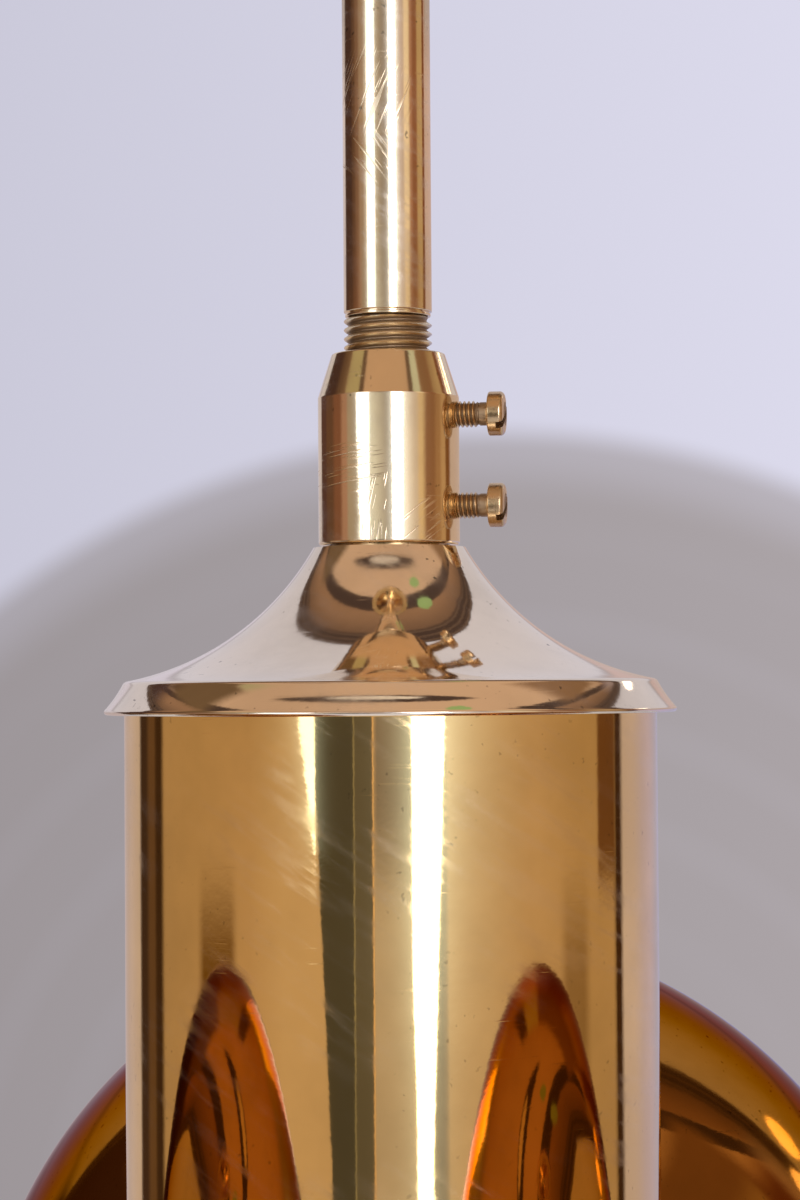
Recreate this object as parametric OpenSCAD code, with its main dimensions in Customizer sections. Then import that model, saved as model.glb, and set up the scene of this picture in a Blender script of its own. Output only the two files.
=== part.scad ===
// Chandelier: a brass stem and hub that carry three swivelling brass globes.
// The origin is the centre of the hanging eye's bore, +Z is up, and sizes are in millimetres.
// Pipe threads are drawn as plain cylinders at half the depth of the thread.

/* [Hanging eye] */
// Radius of the hole that goes over the ceiling hook
eye_bore_r = 6; // [4:0.5:9]
// Width of metal around that hole
eye_rim = 5; // [3:0.5:8]
// Thickness of the flat ring
eye_t = 6; // [4:0.5:9]
// Diameter of the socket under the ring
eye_socket_d = 16; // [14:0.5:22]
// Height of the socket under the ring
eye_socket_h = 16; // [14:1:24]
// Width of the wire window in the socket's side
eye_window = 6; // [4:0.5:7]
// Chamfer on the edges of the turned parts
turned_edge = 0.8; // [0.4:0.1:1]

/* [Stem] */
// Outer diameter of the stem tube and of the pipe thread
stem_d = 10; // [8:0.5:12]
// Wall of the stem tube
stem_wall = 1.2; // [1:0.1:1.6]
// Length of the stem tube from end to end
stem_len = 320; // [240:5:600]
// Depth of the pipe thread
thread_depth = 0.6; // [0.3:0.1:0.8]
// Length of stem thread inside each socket
thread_in = 9.3; // [7:0.1:10]
// Length of bare thread above the coupler
thread_bare = 4.7; // [2:0.1:12]

/* [Coupler] */
// Diameter of the coupler
coupler_d = 16; // [15:0.5:22]
// Height of the coupler
coupler_h = 21.7; // [21.5:0.1:26]
// Diameter of its top face
coupler_top_d = 12.8; // [11.6:0.1:15]
// Height of its conical shoulder
coupler_cone_h = 5; // [2:0.1:5.4]
// Depth of the recess for the ring nut in its lower face
coupler_recess = 2.6; // [2.4:0.1:3]
// Wall of the coupler round that recess
recess_wall = 1.3; // [1:0.1:1.5]
// Depth of the groove for the lower screw round the hub's spigot
groove_depth = 0.6; // [0.4:0.1:0.8]
// Play of the lower screw along that groove
groove_play = 0.3; // [0.2:0.1:0.6]
// Height of the spigot above the groove
spigot_lip = 4.7; // [3:0.1:4.9]

/* [Clamp screws] */
// Diameter of the clamp screws' thread
screw_d = 3; // [2.5:0.5:4]
// Depth of the clamp screws' thread
screw_thread_depth = 0.3; // [0.2:0.05:0.35]
// Depth of the upper screw below the coupler's top face
screw_upper_drop = 7; // [6.6:0.1:7.2]
// Height of the lower screw above the coupler's lower face
screw_lower_rise = 4.4; // [4.3:0.1:6]
// Length of thread in sight between the coupler and the head
screw_out = 3.5; // [1:0.1:5]
// Diameter of the screw heads
screw_head_d = 5; // [4.5:0.1:7]
// Thickness of the screw heads
screw_head_h = 2; // [1.8:0.1:3]
// Chamfer round the face of the screw heads
screw_head_edge = 0.4; // [0.2:0.1:0.6]
// Width of the slots in the heads
screw_slot_w = 0.8; // [0.5:0.1:1.2]
// Depth of the slots in the heads
screw_slot_h = 1; // [0.6:0.1:1.2]
// Turn of the upper screw's slot from level
upper_slot_turn = 31; // [0:1:90]
// Turn of the lower screw's slot from level
lower_slot_turn = 33; // [0:1:90]
// Direction of the screws round the stem
screw_angle = -5; // [-180:1:180]

/* [Cap] */
// Radius of the trumpet cap at its neck
cap_neck_r = 8.6; // [8.1:0.1:12]
// Drop from the neck to the ridge over the body
cap_drop = 15; // [12:0.5:20]
// Radius of the cap's hollow flare
cap_flare_r = 31; // [25:1:60]
// How far the skirt's rim stands out past the body
cap_over = 2.4; // [1.5:0.1:5]
// Height of the skirt
cap_skirt_h = 3.7; // [3:0.1:8]
// Thickness of the cap's sheet
cap_wall = 0.8; // [0.6:0.1:1.2]
// Thickness of the cap's flat neck
cap_neck_t = 1.2; // [1:0.1:2]

/* [Body] */
// Diameter of the body tube
body_d = 60; // [54:1:72]
// Length of the body tube
body_len = 140; // [125:1:180]
// Wall of the body tube
body_wall = 1; // [0.8:0.1:1.5]
// Thickness of the centring disc and of the bottom plate's flange
plate_t = 1.5; // [1:0.1:3]
// Length of the boss on the centring disc
boss_h = 7; // [4:1:12]
// Diameter of the wire holes in the centring disc
wire_hole_d = 7; // [4:0.5:8]
// Depth of the bottom plate's shallow bowl
bowl_h = 7; // [4:0.5:12]
// Width of the flat ring round that bowl
bowl_ring = 3; // [2:0.5:6]
// How far the bottom plate stands out past the body
flange_over = 1; // [0.5:0.1:2]
// Length of the finial
finial_h = 20; // [16:1:30]
// Diameter of the finial's ball
finial_d = 15; // [13:0.5:20]
// Height of the finial's seat
finial_seat_h = 4; // [2:0.5:6]
// Wall of the finial's neck
finial_neck_wall = 1.2; // [0.8:0.1:1.6]

/* [Arms] */
// Depth of the globes' centres below the cap's rim
arm_drop = 103.7; // [95:0.1:110]
// Gap between the body tube and a globe
arm_gap = 6; // [5:0.5:12]
// Diameter of the spacer collars
collar_d = 18; // [16:0.5:22]
// Diameter of the wire bore in the swivel nipples
nipple_bore_d = 7; // [5:0.5:7]
// Size across the flats of the pipe-thread nuts
nut_af = 14; // [13:0.5:16]
// Thickness of the pipe-thread nuts
nut_h = 3; // [2.5:0.5:4]
// Thickness of the spring washers, flattened
spring_t = 0.8; // [0.5:0.1:1.2]
// Thread left standing past a nut
thread_past = 1; // [0.5:0.5:3]

/* [Globes] */
// Diameter of the globes
globe_d = 140; // [130:1:150]
// Thickness of the globes' sheet
globe_wall = 1; // [0.8:0.1:1.5]
// Depth of the mouth below a globe's centre
mouth_drop = 42; // [35:1:50]
// Diameter of the rolled edge round the mouth
bead_d = 2.6; // [2.2:0.1:4]

/* [Lampholders] */
// Diameter of the seat washer and of the bracket's round foot
seat_d = 20; // [18:0.5:24]
// Thickness of the seat washer at its middle
seat_t = 3; // [2.5:0.5:5]
// Thickness of the bracket's strip
strip_t = 1.5; // [1:0.1:2]
// Width of the bracket's strip
strip_w = 14; // [12:1:18]
// Height of the bracket's shelf above a globe's centre
shelf_z = 54; // [50:1:56]
// Length of the lampholder
holder_h = 44; // [40:1:48]
// Diameter of the lampholder
holder_d = 27; // [24:1:32]
// Height of its conical crown
holder_crown_h = 8; // [5:0.5:10]
// Height of each grip ring round it, and of the groove between them
grip_h = 3; // [2:0.5:4]
// How far the grip rings stand out
grip_out = 0.8; // [0.5:0.1:1.5]
// Depth of the lampholder's socket
socket_h = 25; // [22:1:28]

/* [Lamps] */
// Diameter of the lamp's screw cap
lamp_cap_d = 13.8; // [13:0.1:14]
// Diameter of the round bulb
bulb_d = 45; // [35:1:50]
// Diameter of the bulb's neck
bulb_neck_d = 17; // [15:0.5:20]
// Depth of the bulb's centre below the lampholder
bulb_drop = 29; // [27:1:32]
// Thickness of the bulb's glass
bulb_wall = 0.8; // [0.5:0.1:1.2]
// Height of the cone at the tip of the screw cap
lamp_tip_h = 3; // [2:0.5:4]
// Diameter of the flat contact at the tip
lamp_tip_d = 6; // [5:0.5:8]

/* [Canopy] */
// Diameter of the canopy's rim at the ceiling
canopy_d = 110; // [100:1:130]
// Diameter of the canopy at its ridge
canopy_ridge_d = 102; // [94:1:110]
// Height of the canopy's skirt
canopy_skirt_h = 16; // [10:1:24]
// Height of the rim above the hanging eye's bore
canopy_rim_z = 16; // [12:1:24]
// Drop from the canopy's ridge to its neck
canopy_drop = 40; // [34:1:56]
// Radius of the canopy's hollow flare
canopy_flare_r = 62; // [50:1:90]
// Thickness of the canopy's sheet
canopy_wall = 0.8; // [0.6:0.1:1.2]
// Diameter of the canopy collar
slider_d = 18; // [16:0.5:22]
// Height of the canopy collar below the neck
slider_h = 12; // [10:1:18]
// Diameter of the canopy screw
slider_screw_d = 4; // [3:0.5:5]
// Diameter of the canopy screw's knob
knob_d = 7; // [6:0.5:9]
// Thickness of the canopy screw's knob
knob_h = 4; // [3:0.5:6]

/* [Terminal] */
// Length of the terminal block
block_l = 22; // [18:1:24]
// Width of the terminal block
block_w = 12; // [10:1:15]
// Height of the terminal block
block_h = 9; // [7:0.5:10]
// Diameter of the wire holes in the terminal block
terminal_hole_d = 3; // [2.5:0.1:3.5]
// Diameter of its screw wells
terminal_well_d = 3.4; // [3:0.1:4]
// Width of the gaps between its terminals
terminal_gap = 1; // [0.6:0.1:1.5]

/* [Fits] */
// Radial play of a part that turns or slides
run_fit = 0.05; // [0.02:0.01:0.08]
// Radial play in a thread that is screwed tight
thread_fit = 0.02; // [0.01:0.01:0.05]
// Play of a part that is pushed in and stays
push_fit = 0.1; // [0.05:0.05:0.3]
// Gap between the coupler and the cap's neck
turn_gap = 0.25; // [0.15:0.05:0.5]

/* [Hidden] */
GLOBES = [1, 2, 3];
FIXED_NODES = [
    "hanging_eye", "eye_lock_nut", "stem_tube", "coupler", "terminal_bracket", "terminal_block",
    "clamp_screw_upper", "clamp_screw_lower", "canopy_shell", "canopy_collar", "canopy_screw",
    "centre_tube", "neck_ring", "trumpet_cap", "cap_nut", "centring_disc", "body_tube",
    "bottom_plate", "finial"
];
ARM_NODES = ["arm_nipple", "arm_collar", "arm_nut", "spring_washer", "swivel_nut"];
GLOBE_NODES = [
    "globe_shell", "seat_washer", "lamp_bracket", "lampholder", "holder_nut", "lamp_bulb", "lamp_cap"
];

$fn = 96;
eps = 0.01;
brass = "goldenrod";
dark_brass = "darkgoldenrod";

// The pipe thread, male and female
thread_r = stem_d / 2 - thread_depth / 2;
thread_hole_r = thread_r + thread_fit;
plain_hole_r = stem_d / 2 + run_fit;
nut_corner_r = nut_af / 2 / cos(30);

// Heights down the stem
eye_r = eye_bore_r + eye_rim;
socket_top_z = -eye_bore_r - eye_rim / 2;
socket_bot_z = socket_top_z - eye_socket_h;
stem_top_z = socket_bot_z + thread_in;
stem_bot_z = stem_top_z - stem_len;
shoulder_z = stem_bot_z + thread_in + thread_bare;
coupler_top_z = stem_bot_z + thread_in;
coupler_bot_z = coupler_top_z - coupler_h;
bracket_z = socket_bot_z - strip_t;
eye_nut_z = bracket_z - nut_h;
terminal_x = eye_socket_d / 2 + 4;

// Hub: the cap's flare and skirt, the body and what closes it
body_r = body_d / 2;
cap_top_z = coupler_bot_z - turn_gap;
ridge_z = cap_top_z - cap_drop;
rim_z = ridge_z - cap_skirt_h;
body_top_z = ridge_z + skirt_seat_y(body_r, cap_over, cap_skirt_h, cap_wall, body_r);
body_bot_z = body_top_z - body_len;
disc_top_z = body_top_z - boss_h;
bowl_r = body_r - bowl_ring;
bowl_sphere_r = (bowl_r * bowl_r + bowl_h * bowl_h) / (2 * bowl_h);
bowl_hole_rise = bowl_sphere_r - sqrt(pow(bowl_sphere_r, 2) - pow(thread_hole_r, 2));
finial_z = body_bot_z - plate_t - bowl_h + bowl_hole_rise;
screw_upper_z = coupler_top_z - screw_upper_drop;
screw_lower_z = coupler_bot_z + screw_lower_rise;
groove_w = screw_d + groove_play;
spigot_top_z = screw_lower_z + groove_w / 2 + spigot_lip;
spigot_bot_z = coupler_bot_z + coupler_recess;
recess_r = coupler_d / 2 - recess_wall;
ring_h = coupler_recess - push_fit * 2;
tube_end_z = finial_z - finial_h / 2;

// Clamp screws, along +X before they are turned to their direction
screw_r = screw_d / 2 - screw_thread_depth / 2;
screw_hole_r = screw_r + run_fit;
screw_head_x = coupler_d / 2 + screw_out;
upper_tip_x = thread_r + run_fit;
lower_tip_x = stem_d / 2 - groove_depth + run_fit;

// Globes and arms, along +X before they are turned to their places
globe_r = globe_d / 2;
reach = body_r + arm_gap + globe_r;
arm_z = rim_z - arm_drop;
mouth_r = sqrt(globe_r * globe_r - mouth_drop * mouth_drop);
inner_nut_x = sqrt(pow(body_r - body_wall, 2) - nut_corner_r * nut_corner_r);
nipple_in_x = inner_nut_x - nut_h - thread_past;
seat_x = -(globe_r - globe_wall) + seat_t;
strip_x = seat_x + strip_t;
spring_x = strip_x + spring_t;
swivel_nut_x = spring_x + nut_h;
nipple_out_x = swivel_nut_x + thread_past;
holder_bot_z = shelf_z - holder_h;
socket_top = holder_bot_z + socket_h;
socket_r = lamp_cap_d / 2 + run_fit;
bulb_z = holder_bot_z - bulb_drop;
neck_top_z = holder_bot_z - 2;
lamp_skirt_h = 1.5;

// Canopy
canopy_ridge_z = canopy_rim_z - canopy_skirt_h;
canopy_neck_z = canopy_ridge_z - canopy_drop;
canopy_neck_r = slider_d / 2;
slider_bot_z = canopy_neck_z - slider_h;
slider_screw_z = slider_bot_z + slider_h / 2;
slider_screw_tip = stem_d / 2 + 2 * run_fit;
knob_gap = 0.5;
slider_spigot_r = stem_d / 2 + 2;

function globe_angle(g) = 90 + 120 * (g - 1);

// Radius of the skirt's inner face at height y above the ridge
function skirt_inner_r(ridge_r, over, skirt_h, wall, y) =
    let (slant = sqrt(over * over + skirt_h * skirt_h))
    ridge_r - wall * skirt_h / slant - (wall * over / slant + y) * over / skirt_h;

// Height at which a tube of radius tube_r meets the skirt's inner face
function skirt_seat_y(ridge_r, over, skirt_h, wall, tube_r) =
    let (slant = sqrt(over * over + skirt_h * skirt_h))
    -wall * over / slant - (tube_r - ridge_r + wall * skirt_h / slant) * skirt_h / over;

// Centre of the flare's arc, from the neck at (neck_r, drop) to the ridge at (ridge_r, 0)
function flare_centre(neck_r, ridge_r, drop, flare_r) =
    let (
        chord = sqrt(pow(ridge_r - neck_r, 2) + drop * drop),
        away = sqrt(flare_r * flare_r - chord * chord / 4)
    )
    [
        (neck_r + ridge_r) / 2 + away * drop / chord,
        drop / 2 + away * (ridge_r - neck_r) / chord
    ];

// Trumpet of sheet: a flat neck, a hollow flare and a conical skirt, with its ridge at height 0
module trumpet(hole_r, neck_r, neck_t, ridge_r, drop, flare_r, over, skirt_h, wall) {
    c = flare_centre(neck_r, ridge_r, drop, flare_r);
    a = [neck_r, drop];
    b = [ridge_r, 0];
    past = 1.5;
    rotate_extrude($fn = 180) intersection() {
        difference() {
            translate(c) circle(flare_r + wall, $fn = 360);
            translate(c) circle(flare_r, $fn = 360);
        }
        polygon([c, c + past * (a - c), c + past * ((a + b) / 2 - c), c + past * (b - c)]);
    }
    rotate_extrude($fn = 180) polygon([
        b,
        [ridge_r + over, -skirt_h],
        [skirt_inner_r(ridge_r, over, skirt_h, wall, -skirt_h), -skirt_h],
        [skirt_inner_r(ridge_r, over, skirt_h, wall, -wall / 2), -wall / 2]
    ]);
    translate([0, 0, drop - neck_t]) ring(neck_r, hole_r, neck_t);
}

// Turned cylinder with both edges chamfered, standing on the origin
module turned(r, h, edge) {
    rotate_extrude() polygon([[0, 0], [r - edge, 0], [r, edge], [r, h - edge], [r - edge, h], [0, h]]);
}

module ring(r_out, r_in, h) {
    difference() {
        cylinder(r = r_out, h = h);
        translate([0, 0, -1]) cylinder(r = r_in, h = h + 2);
    }
}

// Hexagon nut with chamfered corners, standing on its lower face
module nut(hole_r) {
    difference() {
        intersection() {
            cylinder(r = nut_corner_r, h = nut_h, $fn = 6);
            union() {
                cylinder(r1 = nut_af / 2, r2 = nut_af / 2 + nut_h, h = nut_h / 2);
                translate([0, 0, nut_h / 2])
                    cylinder(r1 = nut_af / 2 + nut_h, r2 = nut_af / 2, h = nut_h / 2);
            }
        }
        translate([0, 0, -1]) cylinder(r = hole_r, h = nut_h + 2);
    }
}

module hanging_eye() {
    color(brass) difference() {
        union() {
            translate([0, eye_t / 2, 0]) rotate([90, 0, 0]) turned(eye_r, eye_t, turned_edge);
            translate([0, 0, socket_bot_z]) turned(eye_socket_d / 2, eye_socket_h, turned_edge);
        }
        rotate([90, 0, 0]) cylinder(r = eye_bore_r, h = eye_socket_d + 2, center = true);
        translate([0, 0, socket_bot_z - 1]) cylinder(r = thread_hole_r, h = thread_in + 1 + eps);
        translate([0, 0, stem_top_z])
            cylinder(r = stem_d / 2 - stem_wall, h = eye_window / 2);
        translate([0, 0, stem_top_z + eye_window / 2]) rotate([0, 90, 0])
            cylinder(d = eye_window, h = eye_socket_d);
    }
}

module eye_lock_nut() {
    color(brass) translate([0, 0, eye_nut_z]) nut(thread_hole_r);
}

module stem_tube() {
    top_thread = eye_nut_z - thread_past;
    color(brass) difference() {
        union() {
            translate([0, 0, stem_bot_z]) cylinder(r = thread_r, h = stem_len);
            translate([0, 0, shoulder_z]) cylinder(d = stem_d, h = top_thread - shoulder_z);
        }
        translate([0, 0, stem_bot_z - 1])
            cylinder(r = stem_d / 2 - stem_wall, h = stem_len + 2);
    }
}

// Turns +X to the direction of the clamp screws, with the origin at height z
module at_screw(z) {
    rotate([0, 0, screw_angle]) translate([0, 0, z]) children();
}

module coupler() {
    straight_h = coupler_h - coupler_cone_h;
    color(brass) difference() {
        translate([0, 0, coupler_bot_z]) union() {
            cylinder(d = coupler_d, h = straight_h);
            translate([0, 0, straight_h])
                cylinder(d1 = coupler_d, d2 = coupler_top_d, h = coupler_cone_h);
        }
        translate([0, 0, stem_bot_z]) cylinder(r = thread_hole_r, h = thread_in + 1);
        translate([0, 0, coupler_bot_z]) cylinder(r = plain_hole_r, h = stem_bot_z - coupler_bot_z);
        translate([0, 0, coupler_bot_z - 1])
            cylinder(r = recess_r, h = coupler_recess + 1);
        for (z = [screw_upper_z, screw_lower_z])
            at_screw(z) rotate([0, 90, 0]) cylinder(r = screw_hole_r, h = coupler_d);
    }
}

// Cheese-head screw along +X, with its axis through the origin
module clamp_screw(tip_x, slot_turn) {
    edge = screw_head_edge;
    head_r = screw_head_d / 2;
    face_x = screw_head_x + screw_head_h;
    color(dark_brass) rotate([0, 90, 0]) difference() {
        union() {
            translate([0, 0, tip_x]) cylinder(r = screw_r, h = screw_head_x - tip_x + eps);
            translate([0, 0, screw_head_x]) cylinder(r = head_r, h = screw_head_h - edge);
            translate([0, 0, face_x - edge]) cylinder(r1 = head_r, r2 = head_r - edge, h = edge);
        }
        translate([0, 0, face_x]) rotate([0, 0, slot_turn])
            cube([screw_slot_w, screw_head_d + 2, 2 * screw_slot_h], center = true);
    }
}

module terminal_bracket() {
    upright_h = -bracket_z - block_h / 2;
    color("silver") translate([0, 0, bracket_z]) difference() {
        union() {
            cylinder(r = nut_corner_r, h = strip_t);
            translate([0, -block_w / 2, 0]) cube([terminal_x, block_w, strip_t]);
            translate([terminal_x - strip_t, -block_w / 2, 0]) cube([strip_t, block_w, upright_h]);
            translate([terminal_x - strip_t, -block_w / 2, upright_h - strip_t])
                cube([block_h + strip_t, block_w, strip_t]);
        }
        translate([0, 0, -1]) cylinder(r = thread_hole_r, h = strip_t + 2);
    }
}

module terminal_block() {
    pitch = block_l / 3;
    color("ivory") translate([terminal_x, 0, -block_h / 2]) difference() {
        translate([0, -block_l / 2, 0]) cube([block_w, block_l, block_h]);
        for (i = [-1, 0, 1]) translate([0, i * pitch, 0]) {
            translate([-1, 0, block_h / 2]) rotate([0, 90, 0])
                cylinder(d = terminal_hole_d, h = block_w + 2);
            translate([block_w / 2, 0, block_h / 2]) cylinder(d = terminal_well_d, h = block_h);
        }
        for (i = [-0.5, 0.5]) translate([-1, i * pitch - terminal_gap / 2, block_h * 2 / 3])
            cube([block_w + 2, terminal_gap, block_h]);
    }
}

module canopy_shell() {
    color(brass) translate([0, 0, canopy_ridge_z]) rotate([180, 0, 0])
        trumpet(
            slider_spigot_r + push_fit, canopy_neck_r, canopy_wall, canopy_ridge_d / 2, canopy_drop,
            canopy_flare_r, (canopy_d - canopy_ridge_d) / 2, canopy_skirt_h, canopy_wall
        );
}

module canopy_collar() {
    color(brass) difference() {
        union() {
            translate([0, 0, slider_bot_z]) turned(slider_d / 2, slider_h, turned_edge);
            translate([0, 0, canopy_neck_z - eps])
                cylinder(r = slider_spigot_r, h = canopy_wall + 2);
        }
        translate([0, 0, slider_bot_z - 1])
            cylinder(r = plain_hole_r, h = slider_h + canopy_wall + 4);
        translate([0, 0, slider_screw_z]) rotate([90, 0, 0])
            cylinder(d = slider_screw_d + 2 * run_fit, h = slider_d);
    }
}

// Thumb screw that locks the canopy collar on the stem
module canopy_screw() {
    knob_x = slider_d / 2 + knob_gap;
    color(dark_brass) translate([0, 0, slider_screw_z]) rotate([90, 0, 0]) union() {
        translate([0, 0, slider_screw_tip])
            cylinder(d = slider_screw_d, h = knob_x - slider_screw_tip + eps);
        translate([0, 0, knob_x]) turned(knob_d / 2, knob_h, turned_edge);
    }
}

module centre_tube() {
    color(brass) difference() {
        union() {
            translate([0, 0, spigot_bot_z]) cylinder(d = stem_d, h = spigot_top_z - spigot_bot_z);
            translate([0, 0, tube_end_z]) cylinder(r = thread_r, h = spigot_bot_z - tube_end_z + eps);
        }
        translate([0, 0, tube_end_z - 1])
            cylinder(r = stem_d / 2 - stem_wall - groove_depth, h = spigot_top_z - tube_end_z + 2);
        translate([0, 0, screw_lower_z - groove_w / 2])
            ring(stem_d, stem_d / 2 - groove_depth, groove_w);
    }
}

module neck_ring() {
    color(brass) translate([0, 0, cap_top_z]) ring(recess_r - push_fit, thread_hole_r, ring_h);
}

module trumpet_cap() {
    color(brass) translate([0, 0, ridge_z])
        trumpet(
            thread_hole_r, cap_neck_r, cap_neck_t, body_r, cap_drop, cap_flare_r, cap_over,
            cap_skirt_h, cap_wall
        );
}

module cap_nut() {
    color(brass) translate([0, 0, cap_top_z - cap_neck_t - nut_h]) nut(thread_hole_r);
}

module centring_disc() {
    disc_r = body_r - body_wall - push_fit;
    holes_r = (disc_r + nut_corner_r) / 2;
    color("silver") difference() {
        union() {
            translate([0, 0, disc_top_z - plate_t]) cylinder(r = disc_r, h = plate_t);
            translate([0, 0, disc_top_z - plate_t]) cylinder(r = nut_corner_r, h = boss_h);
        }
        translate([0, 0, disc_top_z - plate_t - 1]) cylinder(r = thread_hole_r, h = boss_h + 2);
        for (g = GLOBES) rotate([0, 0, globe_angle(g)]) translate([holes_r, 0, disc_top_z - plate_t - 1])
            cylinder(d = wire_hole_d, h = plate_t + 2);
    }
}

module body_tube() {
    color(brass) difference() {
        translate([0, 0, body_bot_z]) ring(body_r, body_r - body_wall, body_len);
        for (g = GLOBES) rotate([0, 0, globe_angle(g)]) translate([0, 0, arm_z])
            rotate([0, 90, 0]) cylinder(r = plain_hole_r, h = body_r + 1);
    }
}

// Flange with a rounded edge, a shoulder inside the tube and a shallow bowl below
module bottom_plate() {
    flange_r = body_r + flange_over;
    shoulder_r = body_r - body_wall - push_fit;
    color(brass) translate([0, 0, body_bot_z]) rotate_extrude($fn = 180) difference() {
        union() {
            translate([0, -plate_t]) square([flange_r - plate_t / 2, plate_t]);
            translate([flange_r - plate_t / 2, -plate_t / 2]) circle(d = plate_t);
            square([shoulder_r, plate_t]);
            intersection() {
                translate([0, bowl_sphere_r - bowl_h - plate_t]) circle(bowl_sphere_r, $fn = 720);
                translate([0, -bowl_h - plate_t - 1]) square([bowl_r, bowl_h + plate_t + 1]);
            }
        }
        intersection() {
            translate([0, bowl_sphere_r - bowl_h]) circle(bowl_sphere_r, $fn = 720);
            translate([0, -bowl_h - plate_t]) square([bowl_r - plate_t, bowl_h + 2 * plate_t + 1]);
        }
        translate([0, -bowl_h - 2 * plate_t]) square([thread_hole_r, bowl_h + 4 * plate_t]);
        translate([-2 * body_r, -body_r]) square([2 * body_r, 2 * body_r]);
    }
}

// Turned nut: a seat, a neck and a ball
module finial() {
    ball_r = finial_d / 2;
    neck_r = thread_hole_r + finial_neck_wall;
    hole_h = finial_z - tube_end_z + thread_past;
    color(brass) translate([0, 0, finial_z]) difference() {
        union() {
            translate([0, 0, -finial_seat_h]) turned(nut_corner_r, finial_seat_h, turned_edge);
            translate([0, 0, -finial_h + ball_r]) cylinder(r = neck_r, h = finial_h - ball_r - eps);
            translate([0, 0, -finial_h + ball_r]) sphere(ball_r);
        }
        translate([0, 0, -hole_h]) cylinder(r = thread_hole_r, h = hole_h + 1);
    }
}

// Turns +X to the direction of globe g, with the origin at the height of the arms
module at_arm(g) {
    rotate([0, 0, globe_angle(g)]) translate([0, 0, arm_z]) children();
}

// Moves the origin to the centre of globe g, with +X away from the body
module at_globe(g) {
    at_arm(g) translate([reach, 0, 0]) children();
}

// Journal in the collar and the globe, with a thread at each end
module arm_nipple() {
    color(brass) rotate([0, 90, 0]) difference() {
        union() {
            translate([0, 0, nipple_in_x])
                cylinder(r = thread_r, h = reach + nipple_out_x - nipple_in_x);
            translate([0, 0, inner_nut_x]) cylinder(d = stem_d, h = reach + strip_x - inner_nut_x);
        }
        translate([0, 0, nipple_in_x - 1])
            cylinder(d = nipple_bore_d, h = reach + nipple_out_x - nipple_in_x + 2);
    }
}

// Spacer with a hollow end on the body and a hollow end on the globe
module arm_collar() {
    past = 4;
    color(brass) difference() {
        rotate([0, 90, 0]) translate([0, 0, body_r - past])
            ring(collar_d / 2, plain_hole_r, arm_gap + 2 * past);
        cylinder(r = body_r, h = 2 * collar_d, center = true, $fn = 180);
        translate([reach, 0, 0]) sphere(globe_r + run_fit, $fn = 180);
    }
}

module arm_nut() {
    color(brass) translate([inner_nut_x - nut_h, 0, 0]) rotate([0, 90, 0]) nut(thread_hole_r);
}

// Dished washer, drawn pressed nearly flat
module spring_washer() {
    color("silver") translate([strip_x, 0, 0]) rotate([0, 90, 0]) ring(nut_corner_r, thread_hole_r, spring_t);
}

module swivel_nut() {
    color(brass) translate([spring_x, 0, 0]) rotate([0, 90, 0]) nut(thread_hole_r);
}

module globe_shell() {
    inner_r = globe_r - globe_wall;
    below = globe_r;
    color(brass) difference() {
        union() {
            difference() {
                sphere(globe_r, $fn = 180);
                sphere(inner_r, $fn = 180);
                translate([0, 0, -mouth_drop - below]) cylinder(r = globe_r, h = below);
            }
            translate([0, 0, -mouth_drop]) rotate_extrude($fn = 180)
                translate([mouth_r - bead_d / 2, 0]) circle(d = bead_d, $fn = 48);
        }
        rotate([0, -90, 0]) cylinder(r = plain_hole_r, h = globe_r + 1);
    }
}

// Washer with a round back that fits the inside of the globe
module seat_washer() {
    inner_r = globe_r - globe_wall;
    color("silver") intersection() {
        translate([seat_x - 2 * seat_t, 0, 0]) rotate([0, 90, 0])
            ring(seat_d / 2, plain_hole_r, 2 * seat_t);
        sphere(inner_r, $fn = 180);
    }
}

// Bent strip: a round foot on the swivel, a slope and a shelf for the lampholder
module lamp_bracket() {
    shelf_in = strip_w / 2 + 4;
    rise_from = [strip_x, seat_d / 2 - 1];
    rise_to = [-shelf_in, shelf_z];
    rise = rise_to - rise_from;
    slope = atan2(rise[1], rise[0]);
    color("silver") difference() {
        union() {
            translate([seat_x, 0, 0]) rotate([0, 90, 0]) cylinder(d = seat_d, h = strip_t);
            translate([rise_from[0] - strip_t / 4, 0, rise_from[1]]) rotate([0, -slope, 0])
                translate([0, -strip_w / 2, 0]) cube([norm(rise) + strip_t, strip_w, strip_t]);
            translate([rise_to[0], -strip_w / 2, shelf_z]) cube([shelf_in, strip_w, strip_t]);
            translate([0, 0, shelf_z]) cylinder(d = strip_w, h = strip_t);
        }
        translate([seat_x - 1, 0, 0]) rotate([0, 90, 0]) cylinder(r = plain_hole_r, h = strip_t + 2);
        translate([0, 0, shelf_z - 1]) cylinder(r = thread_hole_r, h = strip_t + 2);
    }
}

// Round holder with a screw socket, a threaded stub on top and two grip rings
module lampholder() {
    stub_h = strip_t + nut_h + thread_past;
    color("ivory") difference() {
        union() {
            translate([0, 0, holder_bot_z]) cylinder(d = holder_d, h = holder_h - holder_crown_h);
            translate([0, 0, shelf_z - holder_crown_h])
                cylinder(d1 = holder_d, d2 = strip_w, h = holder_crown_h);
            translate([0, 0, shelf_z]) cylinder(r = thread_r, h = stub_h);
            for (i = [0, 1]) translate([0, 0, holder_bot_z + i * 2 * grip_h])
                turned(holder_d / 2 + grip_out, grip_h, grip_out);
        }
        translate([0, 0, holder_bot_z - 1]) cylinder(r = socket_r, h = socket_h + 1);
        translate([0, 0, socket_top - eps]) cylinder(d = nipple_bore_d, h = holder_h + stub_h);
    }
}

module holder_nut() {
    color("silver") translate([0, 0, shelf_z + strip_t]) nut(thread_hole_r);
}

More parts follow.
